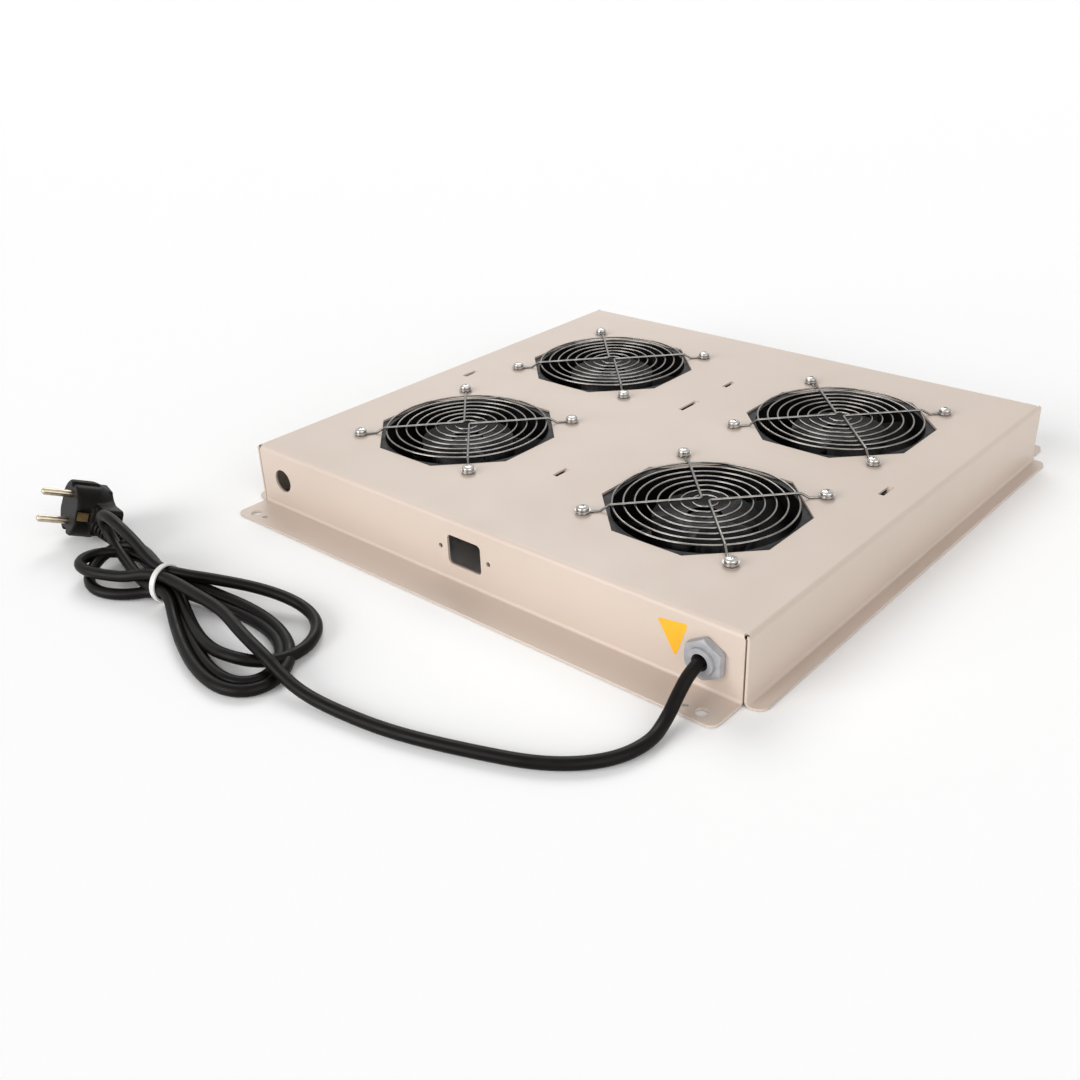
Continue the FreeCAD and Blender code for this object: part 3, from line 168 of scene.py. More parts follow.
# The seven strands lie in the tie as six round one: each place is (across, up) in cord widths,
# and a strand that rests between two others is nested that far above or below them.
tie_place = Vector((-134, -313, 12.1))
tie_heading = math.radians(14)
mouth = 9.0
nested = 0.87
strand_places = {"middle": (0, 0), "far": (1, 0), "near": (-1, 0),
                 "far_top": (0.5, nested), "near_top": (-0.5, nested),
                 "far_low": (0.5, -nested), "near_low": (-0.5, -nested)}

# Each loop: strand it leaves on, strand it comes back on, side, heading, reach, width, lean,
# roundness, and its heights along the turn.
loops = [("near_top", "far_low", -1, 166, 68, 34, 18, 1.06,
          [15, 13.5, 12.5, 12, 11.5, 10, 8, 6, 5, 5]),
         ("far_low", "near_low", 1, 10, 115, 42, -36, 0.94,
          [5, 3.6, 3.6, 3.6, 3.6, 3.6, 3.6, 5]),
         ("near_low", "far", -1, 207, 64, 38, -20, 1.02,
          [5, 3.6, 3.6, 4, 6, 8.5, 11, 12.5, 12.5, 12]),
         ("far", "near", 1, 11, 121, 51, -40, 1.05,
          [10, 7, 4.5, 3.6, 3.6, 3.6, 3.6, 5, 8]),
         ("near", "far_top", -1, 166, 83, -6, 5, 0.68,
          [10, 8, 9, 13, 20, 27.5, 32.5, 33, 29, 21]),
         ("far_top", "middle", 1, 8, 116, 62, -9, 0.97,
          [18, 14, 9, 5, 4, 4, 6, 10, 8, 6, 8])]
points_per_loop = 13


def in_tie(strand, along):
    """A point of a strand where it passes through the tie."""
    across, up = strand_places[strand]
    way = Vector((math.cos(tie_heading), math.sin(tie_heading), 0))
    side = Vector((-way.y, way.x, 0))
    return tie_place + way * along + side * across * cord_across + Vector((0, 0, up * cord_across))


def blend_heights(heights, share):
    """The height at a share of the way along a list of heights."""
    place = share * (len(heights) - 1)
    index = min(int(place), len(heights) - 2)
    return heights[index] + (heights[index + 1] - heights[index]) * (place - index)


def loop_points(leaves, returns, side, heading, reach, width, lean, roundness, heights):
    """One turn of the hank, out of the tie on one strand and back on another."""
    start, end = in_tie(leaves, side * mouth), in_tie(returns, side * mouth)
    way = Vector((math.cos(math.radians(heading)), math.sin(math.radians(heading)), 0))
    across = Vector((-way.y, way.x, 0))
    points = [in_tie(leaves, -side * mouth), start]
    for index in range(1, points_per_loop + 1):
        share = index / (points_per_loop + 1)
        swell = math.sin(math.pi * share)
        spot = start.lerp(end, share) + way * (reach - mouth) * swell ** roundness
        spot += across * (width / 2 * math.sin(2 * math.pi * share) + lean * swell)
        spot.z = blend_heights(heights, share)
        points.append(spot)
    return points


cord_points = [Vector(point) for point in loose_route]
for turn in loops:
    cord_points += loop_points(*turn)
cord_points += [in_tie("middle", mouth), in_tie("middle", -mouth)]
cord_points += [Vector(point) for point in tail_route]

cord_curve = bpy.data.curves.new("supply_cord", "CURVE")
cord_curve.dimensions = "3D"
cord_spline = cord_curve.splines.new("NURBS")
cord_spline.points.add(len(cord_points) - 1)
for control, point in zip(cord_spline.points, cord_points):
    control.co = (*(point * millimetre), 1)
cord_spline.order_u = 3
cord_spline.use_endpoint_u = True
cord_spline.resolution_u = 12
cord_curve.bevel_depth = cord_across / 2 * millimetre
cord_curve.bevel_resolution = 5
black_sheath = cord_sheath()
cord_curve.materials.append(black_sheath)
supply_cord = add_piece("supply_cord", cord_curve,
                        stands_for=["cord_tube", "cord_hank"])


def soften(mesh, width_mm, sharp_degrees=30):
    """Round the sharp edges of a mesh a little, as a mould or a press leaves them."""
    work = bmesh.new()
    work.from_mesh(mesh)
    bmesh.ops.dissolve_limit(work, angle_limit=math.radians(0.4), verts=work.verts, edges=work.edges)
    sharp = [edge for edge in work.edges if len(edge.link_faces) == 2
             and edge.calc_face_angle() > math.radians(sharp_degrees)]
    bmesh.ops.bevel(work, geom=sharp, offset=width_mm / 1000, segments=2, profile=0.6,
                    affect="EDGES", clamp_overlap=True, harden_normals=False)
    work.to_mesh(mesh)
    work.free()


def made_mesh(name, data, modifiers):
    """The plain mesh that modifiers make of a mesh or curve, with their settings as given."""
    host = bpy.data.objects.new(name, data)
    bpy.context.scene.collection.objects.link(host)
    for kind, settings in modifiers:
        modifier = host.modifiers.new(kind.lower(), kind)
        for key, value in settings.items():
            setattr(modifier, key, value)
    depsgraph = bpy.context.evaluated_depsgraph_get()
    mesh = bpy.data.meshes.new_from_object(host.evaluated_get(depsgraph), depsgraph=depsgraph,
                                           preserve_all_data_layers=True)
    bpy.data.objects.remove(host)
    mesh.name = name
    return mesh


body_of_node = {node: body for body, nodes in frame["record"]["behaviour"]["bodies"].items()
                for node in nodes}
weld_gap = 1e-6


def dress(node, material, sharp_degrees=35, softened_mm=0, modifiers=()):
    """Show a CAD node through a copy with its flat and curved faces shaded as they are made."""
    mesh = frame["nodes"][node].data.copy()
    mesh.name = node + "_finish"
    work = bmesh.new()
    work.from_mesh(mesh)
    bmesh.ops.remove_doubles(work, verts=work.verts, dist=weld_gap)
    work.to_mesh(mesh)
    work.free()
    if softened_mm:
        soften(mesh, softened_mm)
    if modifiers:
        mesh = made_mesh(mesh.name, mesh, modifiers)
    mesh.shade_smooth()
    mesh.set_sharp_from_angle(angle=math.radians(sharp_degrees))
    mesh = made_mesh(mesh.name, mesh, [("WEIGHTED_NORMAL", {"keep_sharp": True, "weight": 100})])
    mesh.materials.clear()
    mesh.materials.append(material)
    return add_piece(node + "_finish", mesh, body_of_node[node], [node])


# The plug: a moulded side-entry plug in black PVC, with nickelled brass pins, brass earth strips
# in its sides and a ribbed sleeve where the cord enters.  It lies on its side.

def plug_plastic():
    """Soft moulded PVC with a fine spark-eroded grain: a broken, satin shine."""
    material, tree, shader = start_material("moulded_black_pvc", 0.42, ior=1.5, specular=0.08)
    tree.links.new(two_tone(tree, vary(tree, mottle(tree, 5), 0, 1), "#090706", "#110d0c"),
                   shader.inputs["Base Color"])
    bump(tree, shader, mottle(tree, 0.5), 0.05, 0.6)
    return material


def nickel_plate():
    """Nickel on turned brass: warm, with fine rings from the lathe."""
    material, tree, shader = start_material("nickel_plated_brass", 0.28, 1.0)
    tree.links.new(two_tone(tree, vary(tree, mottle(tree, 3), 0, 1), "#c3b8a4", "#aa9f8b"),
                   shader.inputs["Base Color"])
    bump(tree, shader, mottle(tree, 0.8), 0.02, 0.4)
    return material


black_plug_plastic = plug_plastic()
mould_grain = 0.0006
moulded = [("REMESH", {"mode": "VOXEL", "voxel_size": mould_grain}),
           ("SMOOTH", {"factor": 0.5, "iterations": 5})]
plug = dress("plug_body", black_plug_plastic, 60, modifiers=moulded)
sleeve = dress("plug_sleeve", black_plug_plastic, softened_mm=0.15)
pins = dress("plug_pins", nickel_plate())


def sprung_brass():
    """Rolled brass strip, slightly tarnished."""
    material, tree, shader = start_material("rolled_brass", 0.3, 1.0)
    tree.links.new(two_tone(tree, vary(tree, mottle(tree, 4), 0, 1), "#b99a6b", "#9b7f55"),
                   shader.inputs["Base Color"])
    return material


earth_strips = dress("plug_earth_contacts", sprung_brass())


def natural_nylon():
    """Unfilled white polyamide: slightly clear, with a soft shine."""
    material, tree, shader = start_material("natural_polyamide", 0.4, ior=1.53)
    tree.links.new(two_tone(tree, vary(tree, mottle(tree, 6), 0, 1), "#dedbd6", "#cfccc7"),
                   shader.inputs["Base Color"])
    shader.inputs["Subsurface Weight"].default_value = 0.1
    return material


white_tie = dress("hank_tie", natural_nylon())


# ================================================================ tray
# One blank of 1.5 mm steel, punched, lanced and folded down on four sides, then powder coated in
# a warm light grey with a fine texture.

def powder_coat():
    """Fine-textured polyester powder: small soft orange-peel bumps and a low satin shine."""
    material, tree, shader = start_material("powder_coated_steel", 0.42, ior=1.5)
    broad = mottle(tree, 120, 2)
    tree.links.new(two_tone(tree, vary(tree, broad, 0, 1), "#cebeb1", "#cabaad"),
                   shader.inputs["Base Color"])
    tree.links.new(vary(tree, mottle(tree, 40), 0.38, 0.47), shader.inputs["Roughness"])
    bump(tree, shader, mottle(tree, 1.3, 2), 0.06, 0.35)
    return material


tray_paint = powder_coat()
dress("tray_housing", tray_paint, 30)


# A plain yellow polyester label with three rounded corners, stuck to the front wall above the
# gland.  It is blank.
label_corners = [(0.1436, 0.0333), (0.1631, 0.0359), (0.1557, 0.013)]
label_radius, label_film = 0.0012, 0.00012


def rounded_corners(corners, radius, steps=6):
    """Points round a polygon whose corners are turned at a radius."""
    points = []
    for index, corner in enumerate(corners):
        spot = Vector(corner)
        before = (Vector(corners[index - 1]) - spot).normalized()
        after = (Vector(corners[(index + 1) % len(corners)]) - spot).normalized()
        half = before.angle(after) / 2
        centre = spot + (before + after).normalized() * radius / math.sin(half)
        first = spot + before * radius / math.tan(half) - centre
        last = spot + after * radius / math.tan(half) - centre
        for step in range(steps + 1):
            points.append(centre + first.lerp(last, step / steps).normalized() * radius)
    return points


def plate_mesh(name, points, thickness, lay):
    """A thin plate: an outline and its copy behind it, each point placed by lay(u, v, depth)."""
    mesh = bpy.data.meshes.new(name)
    work = bmesh.new()
    faces = [[work.verts.new(lay(point[0], point[1], depth)) for point in points]
             for depth in (0, thickness)]
    work.faces.new(faces[0])
    work.faces.new(reversed(faces[1]))
    for index in range(len(points)):
        after = (index + 1) % len(points)
        work.faces.new([faces[0][after], faces[0][index], faces[1][index], faces[1][after]])
    bmesh.ops.recalc_face_normals(work, faces=work.faces)
    work.to_mesh(mesh)
    work.free()
    return mesh


def label_film_yellow():
    """Satin printed polyester: one even yellow with a soft shine."""
    material, tree, shader = start_material("yellow_polyester_film", 0.35, ior=1.5)
    tree.links.new(two_tone(tree, vary(tree, mottle(tree, 10), 0, 1), "#f3b41e", "#eead18"),
                   shader.inputs["Base Color"])
    return material


front_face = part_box("gland_locknut")[1].y
label_mesh = plate_mesh("blank_label", rounded_corners(label_corners, label_radius), label_film,
                        lambda u, v, depth: (u, front_face - label_film + depth, v))
label_mesh.materials.append(label_film_yellow())
add_piece("blank_label", label_mesh)


# ================================================================ fans
# Axial fans of the 120 mm class: a die-cast housing in black paint, a pressed rotor cup with a
# moulded impeller round it, and a shaft that runs in sintered sleeve bearings.
fan_names = ["front_left", "front_right", "rear_left", "rear_right"]


def black_casting():
    """Dipped black paint on a die casting: satin, and a little uneven where the metal froze."""
    material, tree, shader = start_material("black_dipped_casting", 0.4, ior=1.5, specular=0.12)
    tree.links.new(two_tone(tree, vary(tree, mottle(tree, 14), 0, 1), "#0b0909", "#131011"),
                   shader.inputs["Base Color"])
    tree.links.new(vary(tree, mottle(tree, 6), 0.34, 0.5), shader.inputs["Roughness"])
    bump(tree, shader, mottle(tree, 1.8), 0.1, 0.4)
    return material


def impeller_plastic():
    """Glass-filled black plastic: dark, with a soft moulded shine and faint flow lines."""
    material, tree, shader = start_material("glass_filled_black_plastic", 0.36, ior=1.52,
                                            specular=0.12)
    tree.links.new(two_tone(tree, vary(tree, mottle(tree, 11), 0, 1), "#0b0a0a", "#141112"),
                   shader.inputs["Base Color"])
    bump(tree, shader, mottle(tree, 0.9), 0.04, 0.5)
    return material


def black_pressing():
    """Deep-drawn steel under thin black paint: smoother and glossier than the casting."""
    material, tree, shader = start_material("black_painted_pressing", 0.28, ior=1.5, specular=0.12)
    tree.links.new(two_tone(tree, vary(tree, mottle(tree, 9), 0, 1), "#0c0a0b", "#141112"),
                   shader.inputs["Base Color"])
    return material


def turned_metal(name, first, second, roughness, size_mm=2):
    """A bare machined metal: even colour with fine tool marks."""
    material, tree, shader = start_material(name, roughness, 1.0)
    tree.links.new(two_tone(tree, vary(tree, mottle(tree, size_mm), 0, 1), first, second),
                   shader.inputs["Base Color"])
    bump(tree, shader, mottle(tree, size_mm / 3), 0.02, 0.4)
    return material


casting, moulding, pressing = black_casting(), impeller_plastic(), black_pressing()
ground_steel = turned_metal("ground_shaft_steel", "#a2a2a4", "#8d8d90", 0.22)
winding_stack = turned_metal("varnished_laminations", "#6b4a33", "#54402f", 0.4)
for fan in fan_names:
    dress("fan_frame_" + fan, casting)
    dress("impeller_" + fan, moulding, 40)
    dress("rotor_cup_" + fan, pressing, softened_mm=0.6)
    dress("shaft_" + fan, ground_steel)
    dress("stator_" + fan, winding_stack)
dress("fan_bearings", turned_metal("sintered_bronze", "#9c7445", "#83603a", 0.5))

# A round foil rating label, blank, on the motor base under each fan.
foil_radius, foil_thickness, foil_steps = 0.024, 0.0001, 48


def brushed_foil():
    """Satin aluminium foil with a fine rolled grain."""
    material, tree, shader = start_material("satin_aluminium_foil", 0.38, 1.0)
    tree.links.new(two_tone(tree, vary(tree, mottle(tree, 4), 0, 1), "#c9c9c8", "#bdbdbb"),
                   shader.inputs["Base Color"])
    return material


foil = brushed_foil()
for fan in fan_names:
    low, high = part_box("fan_frame_" + fan)
    centre_x, centre_y = (low.x + high.x) / 2, (low.y + high.y) / 2
    rim = [(foil_radius * math.cos(step * 2 * math.pi / foil_steps),
            foil_radius * math.sin(step * 2 * math.pi / foil_steps)) for step in range(foil_steps)]
    foil_mesh = plate_mesh("rating_foil_" + fan, rim, foil_thickness,
                           lambda u, v, depth: (centre_x + u, centre_y + v,
                                                low.z - foil_thickness + depth))
    foil_mesh.materials.append(foil)
    add_piece("rating_foil_" + fan, foil_mesh)


# ================================================================ finger guards
# Steel wire bent and resistance-welded, then plated bright: eight rings under two V-shaped wires,
# whose ends step down to an eye under each fan screw.
ring_count, ring_inner, ring_outer = 8, 0.0079, 0.0562
ring_wire, spoke_wire = 0.0013, 0.0016
ring_level, spoke_level = 0.0029, 0.00427
hole_offset = 0.0525
hole_circle = hole_offset * math.sqrt(2)
eye_middle, eye_steps = 0.0034, 32
bend_radius, step_foot = 0.0022, 0.0635
eye_lap, past_last_ring, point_from_middle = 0.0006, 0.0018, 0.0024


def geometry_tree(name, sizes):
    """A Geometry Nodes tree with named inputs: the tree, its inputs' sockets and its output's."""
    tree = bpy.data.node_groups.new(name, "GeometryNodeTree")
    tree.interface.new_socket(name="Geometry", in_out="INPUT", socket_type="NodeSocketGeometry")
    tree.interface.new_socket(name="Geometry", in_out="OUTPUT", socket_type="NodeSocketGeometry")
    for label, kind in sizes.items():
        tree.interface.new_socket(name=label, in_out="INPUT", socket_type="NodeSocket" + kind)
    return tree, tree.nodes.new("NodeGroupInput").outputs, tree.nodes.new("NodeGroupOutput").inputs


def grow(data, tree, values):
    """Run a tree once on a mesh or curve, and return the plain mesh that it makes."""
    host = bpy.data.objects.new(tree.name, data)
    bpy.context.scene.collection.objects.link(host)
    modifier = host.modifiers.new(tree.name, "NODES")
    modifier.node_group = tree
    for item in tree.interface.items_tree:
        if item.in_out == "INPUT" and item.name in values:
            modifier[item.identifier] = values[item.name]
    host.update_tag()
    evaluated = host.evaluated_get(bpy.context.evaluated_depsgraph_get())
    mesh = bpy.data.meshes.new_from_object(evaluated)
    host.modifiers.remove(modifier)
    bpy.data.objects.remove(host)
    return mesh


def maths(tree, operation, first, second):
    """One sum of two values or sockets, in a shader tree or a geometry tree."""
    return add_node(tree, "ShaderNodeMath", {0: first, 1: second}, operation=operation).outputs[0]


def guard_tree():
    """Rings on even radii, and a tube along every wire of the host curve, bent at its corners."""
    tree, given, result = geometry_tree("wire_guard", {
        "Rings": "Int", "Inner radius": "Float", "Outer radius": "Float", "Ring wire": "Float",
        "Ring level": "Float", "Spoke wire": "Float", "Bend radius": "Float", "Finish": "Material"})
    index = add_node(tree, "GeometryNodeInputIndex").outputs[0]
    gaps = maths(tree, "SUBTRACT", given["Rings"], 1)
    span = maths(tree, "SUBTRACT", given["Outer radius"], given["Inner radius"])
    step = maths(tree, "DIVIDE", span, gaps)
    radius = maths(tree, "ADD", given["Inner radius"], maths(tree, "MULTIPLY", index, step))
    size = add_node(tree, "ShaderNodeCombineXYZ", {"X": radius, "Y": radius, "Z": 1})
    middle = add_node(tree, "ShaderNodeCombineXYZ", {"Z": given["Ring level"]})
    places = add_node(tree, "GeometryNodeMeshLine",
                      {"Count": given["Rings"], "Start Location": middle.outputs[0],
                       "Offset": (0, 0, 0)})
    hoop = add_node(tree, "GeometryNodeCurvePrimitiveCircle", {"Resolution": 120, "Radius": 1.0})
    hoops = add_node(tree, "GeometryNodeInstanceOnPoints",
                     {"Points": places.outputs[0], "Instance": hoop.outputs[0],
                      "Scale": size.outputs[0]})
    rings = add_node(tree, "GeometryNodeRealizeInstances", {"Geometry": hoops.outputs[0]})
    ring_section = add_node(tree, "GeometryNodeCurvePrimitiveCircle",
                            {"Resolution": 12, "Radius": maths(tree, "DIVIDE", given["Ring wire"], 2)})
    ring_tubes = add_node(tree, "GeometryNodeCurveToMesh",
                          {"Curve": rings.outputs[0], "Profile Curve": ring_section.outputs[0]})
    closed = add_node(tree, "GeometryNodeInputSplineCyclic").outputs[0]
    turned = add_node(tree, "GeometryNodeSwitch", input_type="FLOAT",
                      links={"Switch": closed, "False": given["Bend radius"], "True": 0.0})
    bent = add_node(tree, "GeometryNodeFilletCurve", mode="POLY",
                    links={"Curve": given["Geometry"], "Count": 8, "Radius": turned.outputs[0],
                           "Limit Radius": True})
    spoke_section = add_node(tree, "GeometryNodeCurvePrimitiveCircle",
                             {"Resolution": 14,
                              "Radius": maths(tree, "DIVIDE", given["Spoke wire"], 2)})
    spokes = add_node(tree, "GeometryNodeCurveToMesh",
                      {"Curve": bent.outputs[0], "Profile Curve": spoke_section.outputs[0],
                       "Fill Caps": True})
    joined = add_node(tree, "GeometryNodeJoinGeometry", {"Geometry": ring_tubes.outputs[0]})
    tree.links.new(spokes.outputs[0], joined.inputs["Geometry"])
    smooth = add_node(tree, "GeometryNodeSetShadeSmooth", {"Geometry": joined.outputs[0]})
    plain = add_node(tree, "GeometryNodeRealizeInstances", {"Geometry": smooth.outputs[0]})
    finished = add_node(tree, "GeometryNodeSetMaterial",
                        {"Geometry": plain.outputs[0], "Material": given["Finish"]})
    tree.links.new(finished.outputs[0], result["Geometry"])
    return tree


def spoke_curve():
    """The centre lines of the two V-shaped wires and of the four eyes."""
    curve = bpy.data.curves.new("spoke_lines", "CURVE")
    curve.dimensions = "3D"
    low = spoke_wire / 2
    for side in (1, -1):
        ways = [Vector((side, 1, 0)).normalized(), Vector((side, -1, 0)).normalized()]
        stations = [(hole_circle - eye_middle + eye_lap, low), (step_foot, low),
                    (ring_outer + past_last_ring, spoke_level)]
        arm = [[way * along + Vector((0, 0, up)) for along, up in stations] for way in ways]
        points = arm[0] + [Vector((side * point_from_middle, 0, spoke_level))] + arm[1][::-1]
        spline = curve.splines.new("POLY")
        spline.points.add(len(points) - 1)
        for control, point in zip(spline.points, points):
            control.co = (*point, 1)
        for way in ways:
            eye = curve.splines.new("POLY")
            eye.points.add(eye_steps - 1)
            eye.use_cyclic_u = True
            for number, control in enumerate(eye.points):
                angle = number * 2 * math.pi / eye_steps
                control.co = (way.x * hole_circle + eye_middle * math.cos(angle),
                              way.y * hole_circle + eye_middle * math.sin(angle), low, 1)
    return curve


def bright_wire():
    """Nickel-chrome plated wire: a mirror shine, slightly broken by the drawing marks below it."""
    material, tree, shader = start_material("bright_plated_wire", 0.14, 1.0)
    tree.links.new(two_tone(tree, vary(tree, mottle(tree, 6), 0, 1), "#87837f", "#726f6c"),
                   shader.inputs["Base Color"])
    tree.links.new(vary(tree, mottle(tree, 2), 0.1, 0.2), shader.inputs["Roughness"])
    return material


guard_mesh = grow(spoke_curve(), guard_tree(), {
    "Rings": ring_count, "Inner radius": ring_inner, "Outer radius": ring_outer,
    "Ring wire": ring_wire, "Ring level": ring_level, "Spoke wire": spoke_wire,
    "Bend radius": bend_radius, "Finish": bright_wire()})
plate_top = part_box("finger_guard_front_left")[0].z
for fan in fan_names:
    low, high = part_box("fan_frame_" + fan)
    mesh = guard_mesh.copy()
    mesh.transform(Matrix.Translation(((low.x + high.x) / 2, (low.y + high.y) / 2, plate_top)))
    add_piece("guard_wires_" + fan, mesh, stands_for=["finger_guard_" + fan])


# ================================================================ fan fasteners
# Sixteen M4 pan-head screws with a cross recess on plain washers, and a hexagon nut under each
# fan's upper flange, all bright zinc plated.

def zinc_plate():
    """Bright zinc: a cool silver with a faint cloudiness."""
    material, tree, shader = start_material("bright_zinc_plate", 0.2, 1.0)
    tree.links.new(two_tone(tree, vary(tree, mottle(tree, 3), 0, 1), "#bdbab7", "#a3a09d"),
                   shader.inputs["Base Color"])
    tree.links.new(vary(tree, mottle(tree, 1.5), 0.16, 0.27), shader.inputs["Roughness"])
    return material


def lathe(name, profile, steps=40):
    """A closed solid of revolution from a profile of (radius, height), its ends on the axis."""
    mesh = bpy.data.meshes.new(name)
    work = bmesh.new()
    rings = []
    for radius, height in profile:
        if radius == 0:
            rings.append([work.verts.new((0, 0, height))] * steps)
        else:
            rings.append([work.verts.new((radius * math.cos(2 * math.pi * s / steps),
                                          radius * math.sin(2 * math.pi * s / steps), height))
                          for s in range(steps)])
    for lower, upper in zip(rings, rings[1:]):
        for s in range(steps):
            after = (s + 1) % steps
            corners = dict.fromkeys([lower[s], lower[after], upper[after], upper[s]])
            work.faces.new(list(corners))
    bmesh.ops.recalc_face_normals(work, faces=work.faces)
    work.to_mesh(mesh)
    work.free()
    return mesh


def carved(mesh, cutter):
    """A mesh with another cut out of it."""
    block, tool = (bpy.data.objects.new(part.name, part) for part in (mesh, cutter))
    for thing in (block, tool):
        bpy.context.scene.collection.objects.link(thing)
    cut = block.modifiers.new("cut", "BOOLEAN")
    cut.operation, cut.object, cut.solver = "DIFFERENCE", tool, "EXACT"
    evaluated = block.evaluated_get(bpy.context.evaluated_depsgraph_get())
    result = bpy.data.meshes.new_from_object(evaluated)
    for thing in (block, tool):
        bpy.data.objects.remove(thing)
    return result


def wing_cutter(width, length, depth, top, turn):
    """One pair of tapering wings, as a cross-head driver presses them."""
    mesh = bpy.data.meshes.new("recess_wing")
    work = bmesh.new()
    above = top + 0.0002
    corners = [(-length / 2, width / 2, above), (length / 2, width / 2, above),
               (length / 4, width / 3, top - depth), (-length / 4, width / 3, top - depth)]
    spin = Matrix.Rotation(turn, 3, "Z")
    sides = [[work.verts.new(spin @ Vector((x, y * way, z))) for x, y, z in corners]
             for way in (1, -1)]
    work.faces.new(sides[0])
    work.faces.new(reversed(sides[1]))
    for index in range(4):
        after = (index + 1) % 4
        work.faces.new([sides[0][after], sides[0][index], sides[1][index], sides[1][after]])
    bmesh.ops.recalc_face_normals(work, faces=work.faces)
    work.to_mesh(mesh)
    work.free()
    return mesh


screw_low, screw_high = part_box("fan_screws")
head_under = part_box("fan_washers")[1].z
head_tall = screw_high.z - head_under
thread_end = screw_low.z - head_under
head_radius, thread_radius, tip_bevel, head_edge = 0.004, 0.002, 0.0006, 0.0002
side_share, dome_steps = 0.42, 8
screw_profile = [(0, thread_end), (thread_radius * 0.8, thread_end),
                 (thread_radius, thread_end + tip_bevel), (thread_radius, 0),
                 (head_radius * 0.94, 0), (head_radius, head_edge),
                 (head_radius, head_tall * side_share)]
for dome_step in range(1, dome_steps):
    rise = dome_step * math.pi / 2 / dome_steps
    screw_profile.append((head_radius * math.cos(rise),
                          head_tall * (side_share + (1 - side_share) * math.sin(rise))))
screw_profile.append((0, head_tall))
screw_master = lathe("fan_screw", screw_profile)
recess_width, recess_length, recess_depth = 0.0009, 0.0044, 0.0013
for wing_turn in (0, math.pi / 2):
    screw_master = carved(screw_master, wing_cutter(recess_width, recess_length, recess_depth,
                                                    head_tall, wing_turn))
washer_low, washer_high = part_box("fan_washers")
washer_tall, washer_radius, washer_bore = washer_high.z - washer_low.z, 0.005, 0.00215
washer_edge = washer_tall * 0.2
washer_profile = [(washer_bore, 0), (washer_radius - washer_edge, 0), (washer_radius, washer_edge),
                  (washer_radius, washer_tall - washer_edge),
                  (washer_radius - washer_edge, washer_tall), (washer_bore, washer_tall),
                  (washer_bore, 0)]
washer_master = lathe("fan_washer", washer_profile)


def fastener_tree():
    """One fastener at every point, each turned by its own amount."""
    tree, given, result = geometry_tree("at_every_fan_hole", {
        "Fastener": "Object", "Seed": "Int", "Finish": "Material"})
    master = add_node(tree, "GeometryNodeObjectInfo", {"Object": given["Fastener"]})
    chance = add_node(tree, "FunctionNodeRandomValue", {"Max": 2 * math.pi, "Seed": given["Seed"]})
    turned = add_node(tree, "ShaderNodeCombineXYZ", {"Z": chance.outputs["Value"]})
    copies = add_node(tree, "GeometryNodeInstanceOnPoints",
                      {"Points": given["Geometry"], "Instance": master.outputs["Geometry"],
                       "Rotation": turned.outputs[0]})
    plain = add_node(tree, "GeometryNodeRealizeInstances", {"Geometry": copies.outputs[0]})
    finished = add_node(tree, "GeometryNodeSetMaterial",
                        {"Geometry": plain.outputs[0], "Material": given["Finish"]})
    tree.links.new(finished.outputs[0], result["Geometry"])
    return tree


hole_spots = []
for fan in fan_names:
    low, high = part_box("fan_frame_" + fan)
    hole_spots += [((low.x + high.x) / 2 + hole_offset * right,
                    (low.y + high.y) / 2 + hole_offset * back)
                   for right in (-1, 1) for back in (-1, 1)]
zinc = zinc_plate()
fasteners = fastener_tree()
turning_seed = 7
for name, master, level, node_name in (
        ("pan_head_screws", screw_master, head_under, "fan_screws"),
        ("plain_washers", washer_master, washer_low.z, "fan_washers")):
    spots = bpy.data.meshes.new(name + "_spots")
    spots.from_pydata([(x, y, level) for x, y in hole_spots], [], [])
    pattern = bpy.data.objects.new(name + "_master", master)
    bpy.context.scene.collection.objects.link(pattern)
    mesh = grow(spots, fasteners, {"Fastener": pattern, "Seed": turning_seed, "Finish": zinc})
    bpy.data.objects.remove(pattern)
    mesh.shade_smooth()
    mesh.set_sharp_from_angle(angle=math.radians(35))
    add_piece(name, mesh, stands_for=[node_name])
dress("fan_nuts", zinc, softened_mm=0.25)


# ================================================================ cable gland
# A moulded polyamide gland: its hexagon sits inside the wall and its thread comes out through a
# locknut, with a rubber seal under the dome nut that grips the cord.

def grey_nylon():
    """Grey moulded polyamide: matt, with a very fine grain."""
    material, tree, shader = start_material("grey_polyamide", 0.5, ior=1.53)
    tree.links.new(two_tone(tree, vary(tree, mottle(tree, 5), 0, 1), "#a4a4a7", "#97979a"),
                   shader.inputs["Base Color"])
    bump(tree, shader, mottle(tree, 0.7), 0.04, 0.4)
    return material


def black_rubber():
    """Soft black rubber: matt."""
    material, tree, shader = start_material("soft_black_rubber", 0.7, ior=1.5)
    tree.links.new(two_tone(tree, vary(tree, mottle(tree, 3), 0, 1), "#1a1a1b", "#222223"),
                   shader.inputs["Base Color"])
    return material


grey = grey_nylon()
for node_name in ("gland_body", "gland_locknut", "gland_dome_nut"):
    dress(node_name, grey, softened_mm=0.35)
dress("gland_seal", black_rubber())


# ================================================================ terminals and earth
# A three-way terminal block of natural polyamide on two welded studs, brass clamps in it, and a
# welded earth stud with a tinned ring between two nuts.

def ivory_polyamide():
    """Natural polyamide for mouldings: warm white and a little waxy."""
    material, tree, shader = start_material("ivory_polyamide", 0.42, ior=1.53)
    tree.links.new(two_tone(tree, vary(tree, mottle(tree, 6), 0, 1), "#dcd6c6", "#d0cab9"),
                   shader.inputs["Base Color"])
    return material


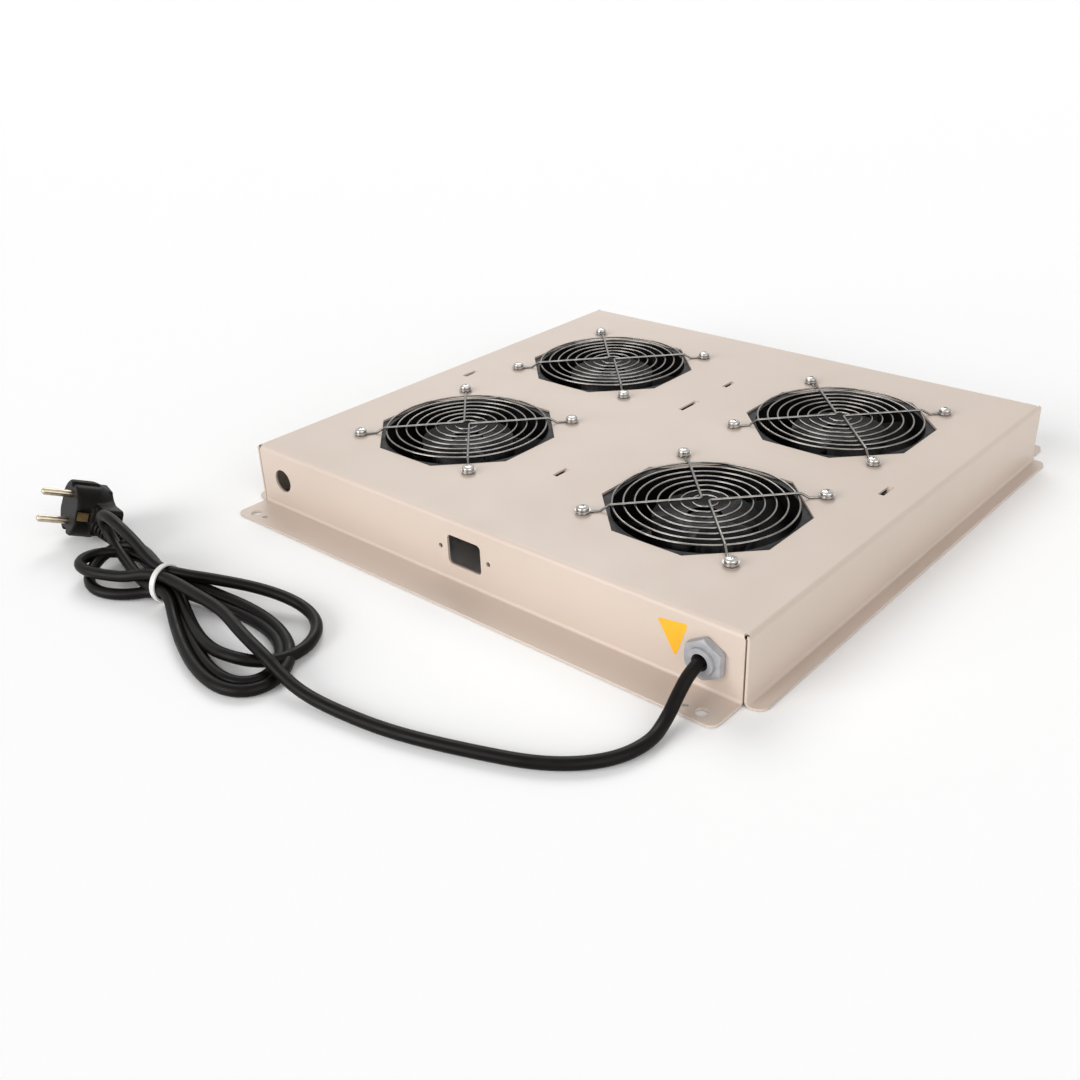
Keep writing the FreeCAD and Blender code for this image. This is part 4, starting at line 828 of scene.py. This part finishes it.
def striped_earth_sheath():
    """Green insulation with two yellow stripes along it, as an earth lead has."""
    material, tree, shader = start_material("green_yellow_pvc", 0.4, ior=1.53)
    where = add_node(tree, "ShaderNodeTexCoord").outputs["Object"]
    split = add_node(tree, "ShaderNodeSeparateXYZ", {"Vector": where})
    stripe_pace = 2600  # radians of the stripes' wave to a metre
    wave = maths(tree, "SINE", maths(tree, "MULTIPLY", split.outputs["Z"], stripe_pace), 0)
    stripe = add_node(tree, "ShaderNodeMapRange",
                      {"Value": wave, "From Min": 0.15, "From Max": 0.3}).outputs["Result"]
    tree.links.new(two_tone(tree, stripe, "#2f7d32", "#d9c21e"), shader.inputs["Base Color"])
    return material


dress("terminal_block", ivory_polyamide(), softened_mm=0.3)
dress("terminal_clamps", turned_metal("plain_brass", "#b8954f", "#a38142", 0.3))
for node_name in ("terminal_screws", "terminal_mount", "earth_stud", "earth_nuts"):
    dress(node_name, zinc)
dress("earth_ring", turned_metal("tinned_copper", "#c8c8c5", "#b5b5b2", 0.3))
dress("earth_lead", striped_earth_sheath())


# ================================================================ inner wiring
# The end of the supply cord and a round two-core lead from each fan, held under the plate by
# black ties that are threaded through its lances.

def lead_sheath():
    """Thin black PVC: satin, slightly wavy over its two cores."""
    material, tree, shader = start_material("black_pvc_lead", 0.36, ior=1.53, specular=0.25)
    tree.links.new(two_tone(tree, vary(tree, mottle(tree, 7), 0, 1), "#0e0c0c", "#171414"),
                   shader.inputs["Base Color"])
    bump(tree, shader, mottle(tree, 4), 0.2, 0.3)
    return material


dress("supply_tail", black_sheath, 60)
leads = lead_sheath()
for fan in fan_names:
    dress("fan_lead_" + fan, leads, 60)
dress("cable_ties", leads, softened_mm=0.2)


# ================================================================ studio
# A white floor under three far soft lamps: a low key in front, a fill from the right, and one
# behind and above.  The room is full white where it is seen or mirrored, and lights less.
floor_half, floor_gap = 30, 0.0004
floor_mesh = bpy.data.meshes.new("floor")
floor_mesh.from_pydata([(-floor_half, -floor_half, 0), (floor_half, -floor_half, 0),
                        (floor_half, floor_half, 0), (-floor_half, floor_half, 0)], [],
                       [(0, 1, 2, 3)])
floor = bpy.data.objects.new("floor", floor_mesh)
bpy.context.scene.collection.objects.link(floor)
floor.location.z = -floor_gap
paper, _, paper_shader = start_material("white_paper", 0.9)
paper_shader.inputs["Base Color"].default_value = linear("#ffffff")
floor_mesh.materials.append(paper)

world = bpy.data.worlds.new("studio")
world.use_nodes = True
bpy.context.scene.world = world
background = world.node_tree.nodes["Background"]
background.inputs["Color"].default_value = (1, 1, 1, 1)
light_path = add_node(world.node_tree, "ShaderNodeLightPath")
shown = light_path.outputs["Is Camera Ray"]
for ray in ("Is Glossy Ray", "Is Transmission Ray"):
    shown = maths(world.node_tree, "MAXIMUM", shown, light_path.outputs[ray])
room_light = 0.32
strength = add_node(world.node_tree, "ShaderNodeMapRange",
                    {"Value": shown, "To Min": room_light, "To Max": 1.0})
world.node_tree.links.new(strength.outputs["Result"], background.inputs["Strength"])


def sun(name, towards, power, soft_degrees):
    """A far lamp that shines the same on the whole floor."""
    lamp_data = bpy.data.lights.new(name, "SUN")
    lamp_data.energy = power
    lamp_data.angle = math.radians(soft_degrees)
    lamp = bpy.data.objects.new(name, lamp_data)
    lamp.matrix_world = Vector(towards).to_track_quat("-Z", "Y").to_matrix().to_4x4()
    bpy.context.scene.collection.objects.link(lamp)


sun("front_key", towards=(0.3, 1.0, -0.38), power=2.3, soft_degrees=45)
sun("right_fill", towards=(-0.9, 0.3, -0.35), power=1.5, soft_degrees=60)
sun("back_top", towards=(0.67, -0.74, -1.0), power=1.0, soft_degrees=32)
bpy.context.scene.view_settings.view_transform = "Standard"
